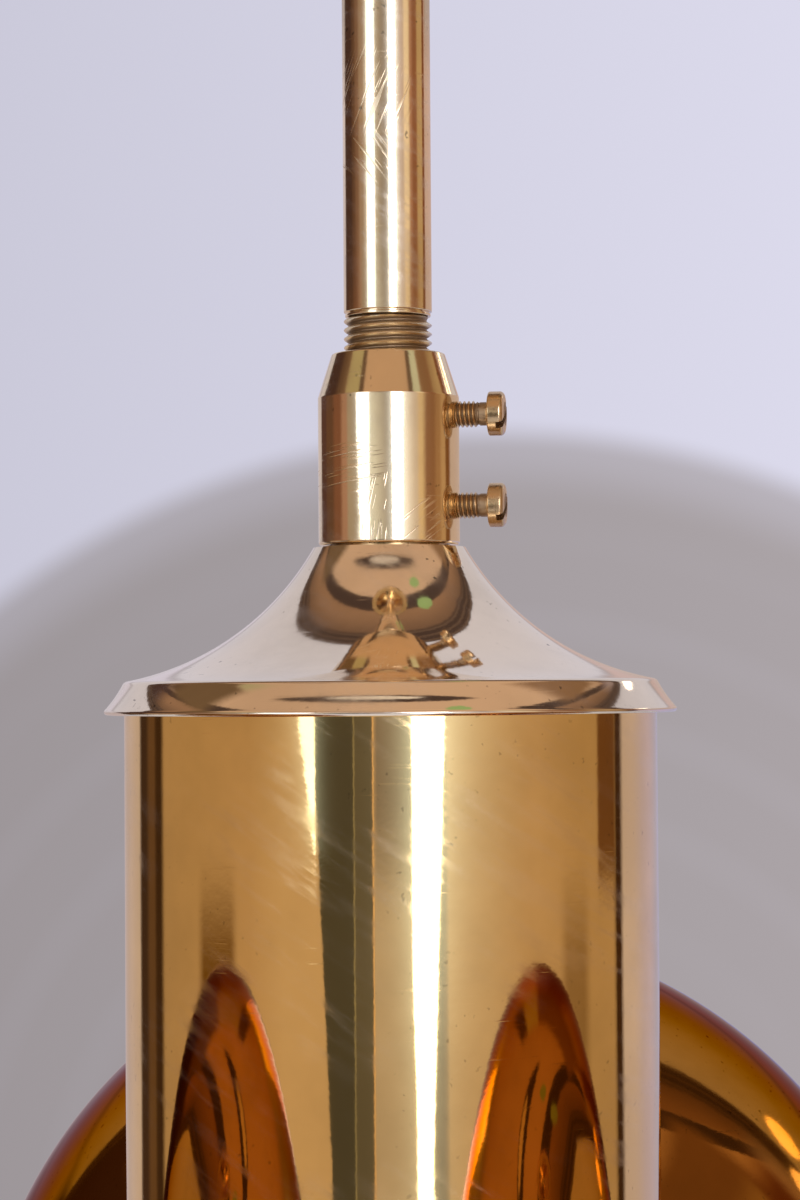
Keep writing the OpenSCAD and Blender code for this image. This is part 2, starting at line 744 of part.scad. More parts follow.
// Outer form of the bulb, or of the space inside it when inset is the glass thickness
module bulb_form(inset, past) {
    neck_h = neck_top_z - bulb_z;
    collar_h = 2;
    r = bulb_d / 2 - inset;
    neck_r = bulb_neck_d / 2 - inset;
    sphere(r);
    cylinder(r1 = r * 0.8, r2 = neck_r, h = neck_h - collar_h);
    translate([0, 0, neck_h - collar_h - eps]) cylinder(r = neck_r, h = collar_h + past);
}

// Round hollow bulb with a neck that opens into the screw cap
module lamp_bulb() {
    color("white", 0.8) translate([0, 0, bulb_z]) difference() {
        bulb_form(0, 0);
        bulb_form(bulb_wall, 1);
    }
}

module lamp_cap() {
    cap_h = socket_top - 1 - neck_top_z;
    color("silver") translate([0, 0, neck_top_z]) union() {
        cylinder(d1 = bulb_neck_d, d2 = lamp_cap_d, h = lamp_skirt_h);
        cylinder(d = lamp_cap_d, h = cap_h - lamp_tip_h);
        translate([0, 0, cap_h - lamp_tip_h]) cylinder(d1 = lamp_cap_d, d2 = lamp_tip_d, h = lamp_tip_h);
    }
}

hanging_eye();
eye_lock_nut();
stem_tube();
coupler();
terminal_bracket();
terminal_block();
union() {  // clamp_screw_upper
    at_screw(screw_upper_z) clamp_screw(upper_tip_x, upper_slot_turn);
}
union() {  // clamp_screw_lower
    at_screw(screw_lower_z) clamp_screw(lower_tip_x, lower_slot_turn);
}
canopy_shell();
canopy_collar();
canopy_screw();
centre_tube();
neck_ring();
trumpet_cap();
cap_nut();
centring_disc();
body_tube();
bottom_plate();
finial();
for (g = GLOBES) {
    at_arm(g) arm_nipple();
    at_arm(g) arm_collar();
    at_arm(g) arm_nut();
    at_globe(g) spring_washer();
    at_globe(g) swivel_nut();
    at_globe(g) globe_shell();
    at_globe(g) seat_washer();
    at_globe(g) lamp_bracket();
    at_globe(g) lampholder();
    at_globe(g) holder_nut();
    at_globe(g) lamp_bulb();
    at_globe(g) lamp_cap();
}
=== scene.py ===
import math

import bmesh
import bpy
from mathutils import Matrix, Vector


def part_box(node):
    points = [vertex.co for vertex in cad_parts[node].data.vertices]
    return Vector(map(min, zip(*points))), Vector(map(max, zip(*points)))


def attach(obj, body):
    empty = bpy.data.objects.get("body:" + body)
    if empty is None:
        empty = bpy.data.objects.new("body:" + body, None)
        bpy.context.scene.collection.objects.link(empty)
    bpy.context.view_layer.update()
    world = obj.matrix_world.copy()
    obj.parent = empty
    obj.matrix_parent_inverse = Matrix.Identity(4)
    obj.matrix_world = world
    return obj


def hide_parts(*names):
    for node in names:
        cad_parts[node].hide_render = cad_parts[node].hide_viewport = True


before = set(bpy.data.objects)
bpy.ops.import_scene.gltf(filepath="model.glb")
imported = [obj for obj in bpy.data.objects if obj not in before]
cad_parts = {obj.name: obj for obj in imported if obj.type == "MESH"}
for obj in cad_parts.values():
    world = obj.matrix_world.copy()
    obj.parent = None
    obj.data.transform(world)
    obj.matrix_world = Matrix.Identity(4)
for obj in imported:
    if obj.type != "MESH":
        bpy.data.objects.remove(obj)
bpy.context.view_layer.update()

MM = 0.001
DEG = math.pi / 180

# Sizes that the frame's boxes don't tell, in millimetres, with angles in degrees
STEM_BORE_R = 3.8
THREAD_PITCH = 1.0
THREAD_DEPTH = 0.6
THREAD_IN = 9.3
THREAD_BARE = 4.7
TOP_THREAD = 15.0
COUPLER_TOP_R = 6.4
COUPLER_CONE_H = 5.0
COUPLER_RECESS = 2.6
COUPLER_RECESS_R = 6.7
SCREW_R = 1.5
SCREW_PITCH = 0.5
SCREW_DEPTH = 0.3
SCREW_HEAD_R = 2.5
SCREW_HEAD_H = 2.0
SLOT_W = 0.8
SLOT_H = 1.0
SCREW_ANGLE = -5.0
UPPER_SLOT_TURN = 31.0
LOWER_SLOT_TURN = 33.0
CAP_NECK_R = 8.6
CAP_DROP = 15.0
CAP_FLARE_R = 31.0
CAP_WALL = 0.8
CAP_NECK_T = 1.2
CAP_HOLE_R = 4.72
RIM_EDGE_R = 0.33
RIM_SPREAD = 0.15
RIDGE_FILLET = 0.35
SKIRT_HOLLOW = 0.13
BODY_WALL = 1.0
ARM_HOLE_R = 5.05
GLOBE_WALL = 1.0
BEAD_R = 1.3
CANOPY_NECK_R = 9.0
CANOPY_FLARE_R = 62.0
CANOPY_RIDGE_R = 51.0
CANOPY_SKIRT_H = 16.0
CANOPY_HOLE_R = 7.1
PLATE_T = 1.5
BOWL_R = 27.0
BOWL_H = 7.0
FINIAL_NECK_R = 5.92
FINIAL_SEAT_H = 4.0
FINIAL_HOLE_H = 11.0
KNOB_H = 4.0
KNOB_RIBS = 26
KNOB_RIB_DEPTH = 0.28
KNOB_CHAMFER = 0.5
SHANK_R = 2.0
SHANK_PITCH = 0.7
SHANK_DEPTH = 0.35
COLLAR_R = 2.6
HOLDER_R = 13.5
GRIP_R = 14.3
GRIP_H = 3.0
CROWN_H = 8.0
STUB_H = 5.5
STUB_THREAD_R = 4.95
STUB_DEPTH = 0.5
STUB_BORE_R = 3.5
HOLDER_NECK_R = 7.0
HOLDER_BORE_R = 3.8
LINER_T = 0.35
SOCKET_R = 6.95
SOCKET_H = 25.0
SLEEVE_STEPS = 96
LAMP_PITCH = 2.82
LAMP_DEPTH = 0.55
LAMP_SKIRT_H = 1.5
LAMP_TIP_H = 3.0
BULB_NECK_R = 8.5
BULB_SHOULDER = 48
GLASS_T = 0.8
BLOCK_PITCH = 22.0 / 3
BLOCK_WELL_R = 1.7
BLOCK_SCREW_H = 2.6

# The camera's place and turn round the stem, fitted to the photograph
CAMERA_AT = (26.35, -338.38, -362.85)
CAMERA_TURN = 0.0743
CAMERA_PITCH = 0.0267
CAMERA_ROLL = -0.0070
CAMERA_LENS = 90.0

GLOBES = (1, 2, 3)


def box(node):
    """Lowest and highest corner of a CAD node in millimetres."""
    low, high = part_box(node)
    return low / MM, high / MM


def radius_of(node):
    """Radius in millimetres of a CAD node that is turned round the Z axis."""
    return box(node)[1].x


def plan_middle(low, high):
    return Vector(((low.x + high.x) / 2, (low.y + high.y) / 2, 0))


# Camera
def make_camera():
    roll_c, roll_s = math.cos(CAMERA_ROLL), math.sin(CAMERA_ROLL)
    x_axis = Vector((1, 0, 0))
    up = Vector((0, -math.sin(CAMERA_PITCH), math.cos(CAMERA_PITCH)))
    forward = Vector((0, math.cos(CAMERA_PITCH), math.sin(CAMERA_PITCH)))
    right = roll_c * x_axis + roll_s * up
    up = -roll_s * x_axis + roll_c * up
    turn = Matrix.Rotation(CAMERA_TURN, 3, "Z")
    axes = Matrix((turn @ right, turn @ up, turn @ -forward)).transposed()
    data = bpy.data.cameras.new("camera")
    data.lens = CAMERA_LENS
    data.sensor_width = 36
    data.clip_start = 0.01
    camera = new_object("camera", data)
    camera.matrix_world = Matrix.Translation(Vector(CAMERA_AT) * MM) @ axes.to_4x4()
    bpy.context.scene.camera = camera


# Node helpers
class Nodes:
    """Builds a node tree with short calls. A value is a number, a tuple or another node's output."""

    def __init__(self, tree):
        self.tree = tree
        tree.nodes.clear()

    def put(self, socket, value):
        if isinstance(value, bpy.types.NodeSocket):
            self.tree.links.new(value, socket)
        elif isinstance(value, tuple) and len(value) == 3 and socket.type == "RGBA":
            socket.default_value = (*value, 1)
        else:
            socket.default_value = value

    def add(self, kind, inputs=(), **settings):
        node = self.tree.nodes.new(kind)
        for key, value in settings.items():
            setattr(node, key, value)
        for key, value in dict(inputs).items():
            self.put(node.inputs[key], value)
        return node

    def math(self, operation, *values, clamp=False):
        return self.add("ShaderNodeMath", enumerate(values), operation=operation, use_clamp=clamp).outputs[0]

    def times(self, a, b):
        return self.math("MULTIPLY", a, b)

    def plus(self, a, b):
        return self.math("ADD", a, b)

    def minus(self, a, b):
        return self.math("SUBTRACT", a, b)

    def over(self, a, b):
        return self.math("DIVIDE", a, b)

    def at_least(self, value, least):
        return self.math("MAXIMUM", value, least)

    def fused(self, a, b, c, clamp=False):
        """a times b, plus c."""
        return self.math("MULTIPLY_ADD", a, b, c, clamp=clamp)

    def vector(self, operation, *values):
        return self.add("ShaderNodeVectorMath", enumerate(values), operation=operation).outputs

    def dot(self, a, b):
        return self.vector("DOT_PRODUCT", a, b)["Value"]

    def step(self, value, low, high, to_low=0.0, to_high=1.0, kind="SMOOTHSTEP"):
        inputs = {"Value": value, "From Min": low, "From Max": high, "To Min": to_low, "To Max": to_high}
        return self.add("ShaderNodeMapRange", inputs, interpolation_type=kind).outputs["Result"]

    def fall(self, value, low, high):
        """1 up to the low level and 0 from the high one."""
        return self.step(value, low, high, 1.0, 0.0)

    def band(self, value, low, high, soft):
        """1 between two levels and 0 outside them."""
        rise = self.step(value, self.moved(low, -soft), self.moved(low, soft))
        return self.times(rise, self.fall(value, self.moved(high, -soft), self.moved(high, soft)))

    def moved(self, level, amount):
        return level + amount if isinstance(level, (int, float)) else self.plus(level, amount)

    def mix(self, factor, a, b, blend="MIX"):
        inputs = {"Factor": factor, 6: a, 7: b}
        return self.add("ShaderNodeMix", inputs, data_type="RGBA", blend_type=blend).outputs[2]

    def paint(self, colour, tint, *shares):
        """The colour with a tint laid over it, as strong as the product of the shares."""
        strength = shares[0]
        for share in shares[1:]:
            strength = self.times(strength, share)
        return self.mix(strength, colour, tint)

    def noise(self, vector, scale, detail, roughness=0.5):
        inputs = {"Vector": vector, "Scale": scale, "Detail": detail, "Roughness": roughness}
        return self.add("ShaderNodeTexNoise", inputs).outputs["Fac"]

    def patches(self, vector, scale, detail, roughness, low, high):
        """Noise that is 0 below the low level and 1 above the high one."""
        return self.step(self.noise(vector, scale, detail, roughness), low, high)

    def ramp(self, value, stops):
        """Colour by a value in degrees. Each stop is where a colour starts, and how softly it does."""
        node = self.add("ShaderNodeValToRGB", {"Fac": self.step(value, -180, 180, kind="LINEAR")})
        elements = node.color_ramp.elements
        marks = [(0.0, stops[0][1])]
        for (_, before, _), (start, after, soft) in zip(stops, stops[1:]):
            share = (start + 180) / 360
            marks += [(share - soft / 360, before), (share + soft / 360, after)]
        for place, colour in marks[2:]:
            elements.new(place)
        for element, (place, colour) in zip(elements, marks):
            element.position = place
            element.color = (*colour, 1)
        return node.outputs["Color"]

    def blob(self, x, y, centre, size):
        """1 inside an ellipse and 0 outside, with a soft edge."""
        u = self.over(self.minus(x, centre[0]), size[0])
        v = self.over(self.minus(y, centre[1]), size[1])
        return self.fall(self.plus(self.times(u, u), self.times(v, v)), 0.8, 1.2)

    def off_axis(self, place, point, axis):
        """Distance from a straight axis through a point."""
        offset = self.vector("SUBTRACT", place, point)[0]
        return self.vector("LENGTH", self.vector("CROSS_PRODUCT", offset, axis)[0])["Value"]

    def scaled(self, vector, scale, turn=(0.0, 0.0, 0.0)):
        """Coordinates scaled first and then turned."""
        inputs = {"Vector": vector, "Scale": scale, "Rotation": turn}
        return self.add("ShaderNodeMapping", inputs).outputs["Vector"]

    def turned(self, vector, turn):
        return self.scaled(vector, (1.0, 1.0, 1.0), turn)


# World: a pale backdrop for the camera, a soft even light for matt surfaces, and for
# polished metal the photographer's room, given by direction
BACKDROP_HIGH = (0.66, 0.65, 0.775)
BACKDROP_LOW = (0.375, 0.34, 0.355)
PAPER_HIGH = (0.65, 0.62, 0.69)
PAPER_LOW = (0.53, 0.44, 0.45)
DARK = (0.07, 0.042, 0.032)
WINDOW = (5.5, 5.5, 6.0)
WINDOW_LEFT = (2.6, 2.8, 3.2)
WINDOW_GLOW = (0.50, 0.70, 1.0)
SOFT_LIGHT = (0.80, 0.79, 0.84)
BETWEEN_WINDOWS = (0.49, 0.41, 0.38)
CORNER = (0.075, 0.068, 0.058)
CORNER_RIGHT = (0.12, 0.105, 0.088)
CORNER_LINE = (0.30, 0.27, 0.19)
CORNER_EDGE = (0.80, 0.52, 0.30)
PATCH = (0.14, 0.065, 0.012)
BESIDE_PAPER = (0.15, 0.065, 0.025)
CEILING = (0.31, 0.17, 0.095)
CEILING_FRONT = (0.60, 0.39, 0.25)
PANEL_PALE = (0.75, 0.62, 0.50)
LEAF_GREEN = (0.30, 0.42, 0.16)
RAIL_PALE = (0.13, 0.08, 0.055)
RAILS = 88.0
FLOORING = (0.42, 0.25, 0.12)

# Walls round the lamp at three heights: below the eye, just above it, and higher up. Each stop is
# an azimuth in degrees, 0 behind the camera, the colour that starts there, and how softly it does.
WALLS_LOW = (
    (-180, PAPER_LOW, 1), (-152, (0.58, 0.49, 0.52), 4), (-135.5, (0.055, 0.030, 0.020), 1),
    (-127, (0.13, 0.07, 0.038), 1.5), (-120, (0.05, 0.025, 0.013), 1), (-113.5, (0.43, 0.29, 0.18), 1.2),
    (-78, (0.475, 0.32, 0.205), 12), (-54, (0.555, 0.40, 0.28), 8),
    (-7, (0.22, 0.175, 0.17), 0.5), (23, (0.54, 0.40, 0.30), 1), (51, (0.51, 0.35, 0.235), 9),
    (76, (0.44, 0.29, 0.17), 12), (110, (0.05, 0.022, 0.010), 1),
    (115.3, (0.58, 0.50, 0.62), 1.2), (131, (0.54, 0.48, 0.70), 5), (152, (0.45, 0.43, 0.60), 6),
)
WALLS_MIDDLE = (
    (-180, (0.62, 0.57, 0.62), 1), (-142, (0.093, 0.045, 0.036), 2), (-122, (0.125, 0.062, 0.036), 2),
    (-101, (0.21, 0.09, 0.05), 4), (-83, (0.40, 0.225, 0.155), 3), (-71, (0.38, 0.31, 0.235), 2),
    (-50, (0.75, 0.75, 0.70), 4), (-14, (0.42, 0.37, 0.31), 9), (22, (0.80, 0.68, 0.55), 1),
    (37, (0.62, 0.49, 0.37), 7), (49, (0.70, 0.50, 0.26), 2), (60, (0.28, 0.133, 0.058), 4),
    (82, (0.37, 0.20, 0.09), 3), (94, (0.50, 0.31, 0.155), 3), (106, (0.20, 0.08, 0.025), 2),
    (118, (0.56, 0.44, 0.40), 3),
)
WALLS_HIGH = (
    (-180, (0.66, 0.61, 0.70), 1), (-139, (0.067, 0.033, 0.025), 3), (-103, (0.125, 0.065, 0.040), 4),
    (-91, (0.23, 0.13, 0.085), 4), (-78, (0.37, 0.26, 0.19), 3), (-62, (0.55, 0.46, 0.38), 4),
    (-29, (0.52, 0.46, 0.40), 2), (-20, (0.34, 0.28, 0.24), 6), (22, (0.75, 0.63, 0.55), 1),
    (31, (0.56, 0.40, 0.33), 4), (46.5, (0.90, 0.72, 0.50), 2), (62, (0.42, 0.21, 0.12), 3),
    (71, (0.28, 0.115, 0.055), 3), (87, (0.51, 0.35, 0.18), 3), (107.5, (0.20, 0.07, 0.03), 1),
    (117, (0.60, 0.45, 0.43), 2),
)
# The ceiling's front edge: azimuths in degrees where a stretch starts and ends, how softly, and its colour
CEILING_ENDS = (
    (-84, -54, 3, (0.46, 0.38, 0.20)), (-120, -84, 3, (0.17, 0.10, 0.05)), (-56, -47, 2, (0.14, 0.08, 0.05)),
    (46, 62, 2, (0.62, 0.62, 0.46)), (38, 47, 2, (0.14, 0.08, 0.05)), (62, 110, 3, (0.26, 0.14, 0.07)),
)
# Azimuth and elevation of each lamp behind, its half width and height, and its light
REAR_LAMPS = (
    ((132.0, 23.0), (3.5, 3.0), (4.0, 3.4, 2.8)),
    ((123.0, 21.0), (2.5, 2.5), (3.0, 2.5, 2.0)),
)
# The lamp's own soft shadow on the backdrop: its centre's turn from the camera's and its slope, and how many
# degrees from there it ends. Faint rings run inside its edge.
SHADE_TURN = -0.031
SHADE_SLOPE = -0.189
SHADE_ENDS = ((15.05, 15.75, 0.75), (14.0, 15.2, 0.25))
SHADE_RINGS = 3.6
RING_DEPTH = 0.03


def room(k, azimuth, elevation, to_right, to_camera, rise):
    """Colour of the room that the polished metal reflects, with azimuth 0 behind the camera."""
    colour = k.ramp(azimuth, WALLS_LOW)
    colour = k.paint(colour, BETWEEN_WINDOWS, k.band(azimuth, -7.0, 12.0, 0.5), k.step(elevation, -2.0, -5.0))
    # A dark corner between the windows, wider below, with a thin pale line down it
    corner_left = k.step(elevation, -9.2, -2.0, -25.3, -31.6, kind="LINEAR")
    for start, end, soft, tint in (
        (corner_left, -15.3, 0.4, CORNER), (-15.3, -7.4, 0.3, CORNER_RIGHT),
        (-15.5, -15.0, 0.2, CORNER_LINE), (-7.6, -7.0, 0.2, CORNER_EDGE),
    ):
        colour = k.paint(colour, tint, k.band(azimuth, start, end, soft))
    # Soft dark patches over the lamp's own globes, and a brown one beside the backdrop
    shade = k.step(elevation, -3.0, -5.8)
    colour = k.paint(colour, PATCH, k.band(azimuth, -88, -69.5, 2.5), shade)
    colour = k.paint(colour, PATCH, k.band(azimuth, 77, 91, 3), k.times(shade, 0.6))
    colour = k.paint(colour, BESIDE_PAPER, k.band(azimuth, 98, 110, 1.2), k.step(elevation, -4.4, -3.2))
    colour = k.paint(colour, k.ramp(azimuth, WALLS_MIDDLE), k.step(elevation, -0.6, 1.4))
    colour = k.paint(colour, k.ramp(azimuth, WALLS_HIGH), k.step(elevation, 6.0, 8.5))
    # Windows: one narrows to a point below the horizon, the other is a long strip
    under_ceiling = k.fall(elevation, 24, 30)
    slant = k.times(k.plus(elevation, 3.3), -2.6)
    left_start = k.at_least(k.plus(slant, -32.0), -54.0)
    left_reach = k.times(k.step(elevation, -3.6, -3.2), under_ceiling)
    right_start = k.plus(k.step(elevation, -9, -5, 10.2, 8.7), k.step(elevation, -1, 3, 0.0, -3.2))
    right_end = k.step(elevation, -9, 0, 16.8, 23.2, kind="LINEAR")
    for start, end, reach, before, after, light, amount in (
        (left_start, -31.7, left_reach, 4.5, 2.5, WINDOW_LEFT, 0.5),
        (right_start, right_end, under_ceiling, 5.5, 11.0, WINDOW, 1.0),
    ):
        short = k.over(k.at_least(k.minus(start, azimuth), 0.0), before)
        beyond = k.over(k.at_least(k.minus(azimuth, end), 0.0), after)
        glow = k.math("EXPONENT", k.times(k.plus(short, beyond), -1.0))
        glow = k.times(k.times(glow, reach), k.step(elevation, -9, -2, 0.4 * amount, amount))
        colour = k.mix(glow, colour, WINDOW_GLOW, "ADD")
        colour = k.paint(colour, light, k.band(azimuth, start, end, 0.4), reach)
    colour = k.paint(colour, FLOORING, k.fall(elevation, -38, -28))
    # The ceiling, in its own plane: across to the right, and towards the camera
    above = k.at_least(rise, 0.05)
    across = k.over(to_right, above)
    near = k.over(to_camera, above)
    sag = k.times(across, across)
    beam = k.fused(sag, 0.38, near)
    panel = k.fused(sag, 0.62, near)
    beam_at = k.fused(across, -0.06, beam)
    ceiling = k.mix(k.step(beam, -0.10, -0.02), CEILING, CEILING_FRONT)
    for x, y, centre, size, tint in (
        (beam_at, 0.0, (-0.06, 0.0), (0.07, 1.0), DARK),
        (across, panel, (-0.08, 0.345), (0.50, 0.07), DARK),
        (across, panel, (-0.08, 0.365), (0.25, 0.033), PANEL_PALE),
        (across, beam, (0.28, 0.12), (0.055, 0.05), LEAF_GREEN),
        (across, beam, (0.28, -0.10), (0.065, 0.06), LEAF_GREEN),
    ):
        ceiling = k.paint(ceiling, tint, k.blob(x, y, centre, size))
    # Dark uprights and pale patches at both ends of the ceiling's front edge
    front = k.fall(elevation, 46, 52)
    for start, end, soft, tint in CEILING_ENDS:
        ceiling = k.paint(ceiling, tint, k.band(azimuth, start, end, soft), front)
    colour = k.paint(colour, ceiling, k.step(elevation, 26, 36))
    # The paper backdrop behind ends at a bent line in the ceiling's plane, with dark lines before it
    past = k.plus(near, 0.56)
    for side, slope, bend_at, bend in ((k.times(across, -1.0), 0.37, 0.7, 0.57), (across, 0.05, 0.55, 0.55)):
        side = k.at_least(side, 0.0)
        past = k.fused(side, slope, past)
        past = k.fused(k.at_least(k.minus(side, bend_at), 0.0), bend, past)
    over = k.step(elevation, 11, 15)
    colour = k.paint(colour, DARK, k.step(past, 0.16, 0.45, 0.55, 0.0), over)
    lines = k.math("SINE", k.times(past, RAILS))
    rail = k.mix(k.step(lines, 0.0, 0.9), DARK, RAIL_PALE)
    colour = k.paint(colour, rail, k.fall(past, 0.17, 0.21), over)
    colour = k.paint(colour, PAPER_HIGH, k.fall(past, -0.015, 0.0), over)
    # Two lamps behind on the right, which only the globe behind the body mirrors
    for centre, size, light in REAR_LAMPS:
        colour = k.paint(colour, light, k.blob(azimuth, elevation, centre, size))
    return colour


def make_world():
    world = bpy.data.worlds.new("room")
    bpy.context.scene.world = world
    world.use_nodes = True
    k = Nodes(world.node_tree)
    direction = k.add("ShaderNodeTexCoord").outputs["Generated"]
    turn_c, turn_s = math.cos(CAMERA_TURN), math.sin(CAMERA_TURN)
    to_right = k.dot(direction, (turn_c, turn_s, 0))
    to_camera = k.dot(direction, (turn_s, -turn_c, 0))
    rise = k.dot(direction, (0, 0, 1))
    azimuth = k.over(k.math("ARCTAN2", to_right, to_camera), DEG)
    elevation = k.over(k.math("ARCSINE", rise), DEG)
    path = k.add("ShaderNodeLightPath").outputs
    seen_by_metal = room(k, azimuth, elevation, to_right, to_camera, rise)
    metal = k.add("ShaderNodeBackground", {"Color": seen_by_metal})
    soft = k.add("ShaderNodeBackground", {"Color": SOFT_LIGHT, "Strength": 0.75})
    shade_turn = CAMERA_TURN + SHADE_TURN
    shade_at = Vector((-math.sin(shade_turn), math.cos(shade_turn), SHADE_SLOPE)).normalized()
    spread = k.over(k.math("ARCCOSINE", k.dot(direction, tuple(shade_at))), DEG)
    shade = k.plus(*(k.step(spread, start, end, depth, 0.0) for start, end, depth in SHADE_ENDS))
    rings = k.math("SINE", k.times(spread, SHADE_RINGS))
    rings = k.times(k.times(rings, k.step(spread, 12.0, 14.5, RING_DEPTH, 0.0)), k.step(spread, 5.0, 9.0))
    tint = k.mix(k.math("ADD", shade, rings, clamp=True), BACKDROP_HIGH, BACKDROP_LOW)
    # Painted light: the backdrop is darker towards the left and lighter towards the right
    side = k.step(to_right, -0.14, 0.14, 0.90, 1.08, kind="LINEAR")
    backdrop = k.add("ShaderNodeBackground", {"Color": tint, "Strength": side})
    seen = k.at_least(path["Is Camera Ray"], path["Is Transmission Ray"])
    first = k.add("ShaderNodeMixShader", {0: path["Is Glossy Ray"], 1: soft.outputs[0], 2: metal.outputs[0]})
    last = k.add("ShaderNodeMixShader", {0: seen, 1: first.outputs[0], 2: backdrop.outputs[0]})
    k.add("ShaderNodeOutputWorld", {"Surface": last.outputs[0]})


# Materials
WIPE_TURN = (0.0, -0.6, 0.0)
HAIR_SCALE = (120.0, 120.0, 4200.0)
HAIR_TURNS = ((0.3, 1.2, 0.9), (1.1, 0.5, 0.1), (0.7, 1.4, 0.4))
SCUFF_SCALE = (160.0, 160.0, 4200.0)
SCUFF_AXIS = (0.6, -0.8, 0.0)


def new_material(name):
    """A material, the helper for its nodes and the object's own coordinates."""
    material = bpy.data.materials.new(name)
    material.use_nodes = True
    k = Nodes(material.node_tree)
    return material, k, k.add("ShaderNodeTexCoord").outputs["Object"]


def surface(k, inputs):
    shader = k.add("ShaderNodeBsdfPrincipled", inputs)
    k.add("ShaderNodeOutputMaterial", {"Surface": shader.outputs[0]})


def metal(
    name, base, rough, speckle, smudge, hair, bump,
    wipe=None, haze=0.0, darkening=None, marks=(), edge=None,
):
    """Polished metal with smudges, hairline scratches and dark speckles.

    wipe is the scale of a weak haze's streaks, and haze its strength. darkening is (point, axis, plain
    radius, dark radius, colour) in millimetres: painted shade for a thread's roots, and a darker band for a
    rim's edge.
    Each mark is (x, y, z, radius, turn) of a scuffed place, in millimetres and radians. edge is the tint at
    grazing angles.
    """
    material, k, at = new_material(name)
    cloud = k.noise(at, 55, 4, 0.6)
    fine = k.noise(at, 420, 3, 0.6)
    tone = tuple(c * 0.86 for c in base)
    colour = k.mix(k.step(cloud, 0.35, 0.7), base, tone)
    spots = k.times(k.patches(at, 1300, 2, 0.5, 0.68, 0.74), k.patches(at, 60, 2, 0.5, 0.42, 0.62))
    colour = k.paint(colour, tuple(c * 0.3 for c in base), spots, speckle)
    roughness = k.fused(k.step(cloud, 0.4, 0.75), smudge, rough)
    veil = 0.0
    if wipe:
        slanted = k.scaled(k.turned(at, WIPE_TURN), wipe)
        streaks = k.times(k.patches(slanted, 1.0, 4, 0.65, 0.44, 0.66), k.patches(at, 70, 3, 0.5, 0.42, 0.60))
        roughness = k.fused(streaks, 0.08, roughness)
        veil = k.times(streaks, haze)
    lines = 0.0
    for i, turn in enumerate(HAIR_TURNS):
        line = k.patches(k.scaled(at, HAIR_SCALE, turn), 1.0, 0, 0.5, 0.74, 0.80)
        near = k.patches(at, 130 + 20 * i, 2, 0.5, 0.54, 0.66)
        lines = k.at_least(lines, k.times(line, near))
    lines = k.times(lines, hair)
    for x, y, z, size, turn in marks:
        here = k.fall(k.off_axis(at, (x * MM, y * MM, z * MM), SCUFF_AXIS), size * MM * 0.5, size * MM)
        scuff = k.patches(k.scaled(k.turned(at, turn), SCUFF_SCALE), 1.0, 1, 0.5, 0.58, 0.68)
        lines = k.at_least(lines, k.times(scuff, here))
    roughness = k.fused(lines, 0.25, roughness, clamp=True)
    # Painted shade in a thread's roots, and a darker band at a rim's edge, by distance from an axis
    if darkening:
        point, axis, plain_at, dark_at, dark_colour = darkening
        off = k.off_axis(at, tuple(c * MM for c in point), axis)
        darkened = k.fall(off, dark_at * MM, plain_at * MM)
        colour = k.paint(colour, dark_colour, darkened, 0.85)
        roughness = k.fused(darkened, 0.3, roughness, clamp=True)
    height = k.fused(lines, -0.8, fine)
    normal = k.add("ShaderNodeBump", {"Height": height, "Strength": bump, "Distance": 0.00002})
    inputs = {"Base Color": colour, "Metallic": 1.0, "Roughness": roughness, "Normal": normal.outputs[0]}
    if wipe:
        inputs.update({"Coat Weight": veil, "Coat Roughness": 0.42, "Coat IOR": 2.2})
    if edge:
        inputs["Specular Tint"] = edge
    surface(k, inputs)
    return material


def glaze(name, colour, rough, coat=0.6, stain=(0.7, 0.66, 0.58)):
    """Glazed ceramic or enamel with faint stains in its colour and a slightly wavy surface."""
    material, k, at = new_material(name)
    cloud = k.noise(at, 70, 5, 0.6)
    normal = k.add("ShaderNodeBump", {"Height": k.noise(at, 260, 2), "Strength": 0.2, "Distance": 0.0001})
    surface(k, {
        "Base Color": k.mix(k.step(cloud, 0.5, 0.8, 0.0, 0.35), colour, stain),
        "Roughness": k.step(cloud, 0.3, 0.8, rough, rough + 0.12),
        "Normal": normal.outputs[0], "Coat Weight": coat, "Coat Roughness": 0.05,
    })
    return material


def opal(name):
    """Opal glass: milky, glossy, and a little clearer in places."""
    material, k, at = new_material(name)
    cloud = k.noise(at, 45, 3, 0.5)
    surface(k, {
        "Base Color": k.mix(k.step(cloud, 0.35, 0.7), (0.88, 0.87, 0.84), (0.80, 0.79, 0.77)),
        "Roughness": k.step(cloud, 0.2, 0.8, 0.12, 0.2),
        "Subsurface Weight": 0.25, "Subsurface Radius": (0.004, 0.004, 0.003),
        "Coat Weight": 0.5, "Coat Roughness": 0.05,
    })
    return material


def plain(name, colour, rough):
    """Matt surface for the floor, with a faint cloudiness."""
    material, k, at = new_material(name)
    tint = k.mix(k.patches(at, 3, 3, 0.5, 0.3, 0.7), colour, tuple(c * 0.97 for c in colour))
    surface(k, {"Base Color": tint, "Roughness": rough})
    return material


# Outlines: lists of (radius, height) in millimetres, up the outside and down the inside
def arc(centre, radius, start, end, steps):
    """Points on an arc from the start angle to the end angle, in degrees."""
    angles = [start + (end - start) * i / steps for i in range(steps + 1)]
    return [(centre[0] + radius * math.cos(a * DEG), centre[1] + radius * math.sin(a * DEG)) for a in angles]


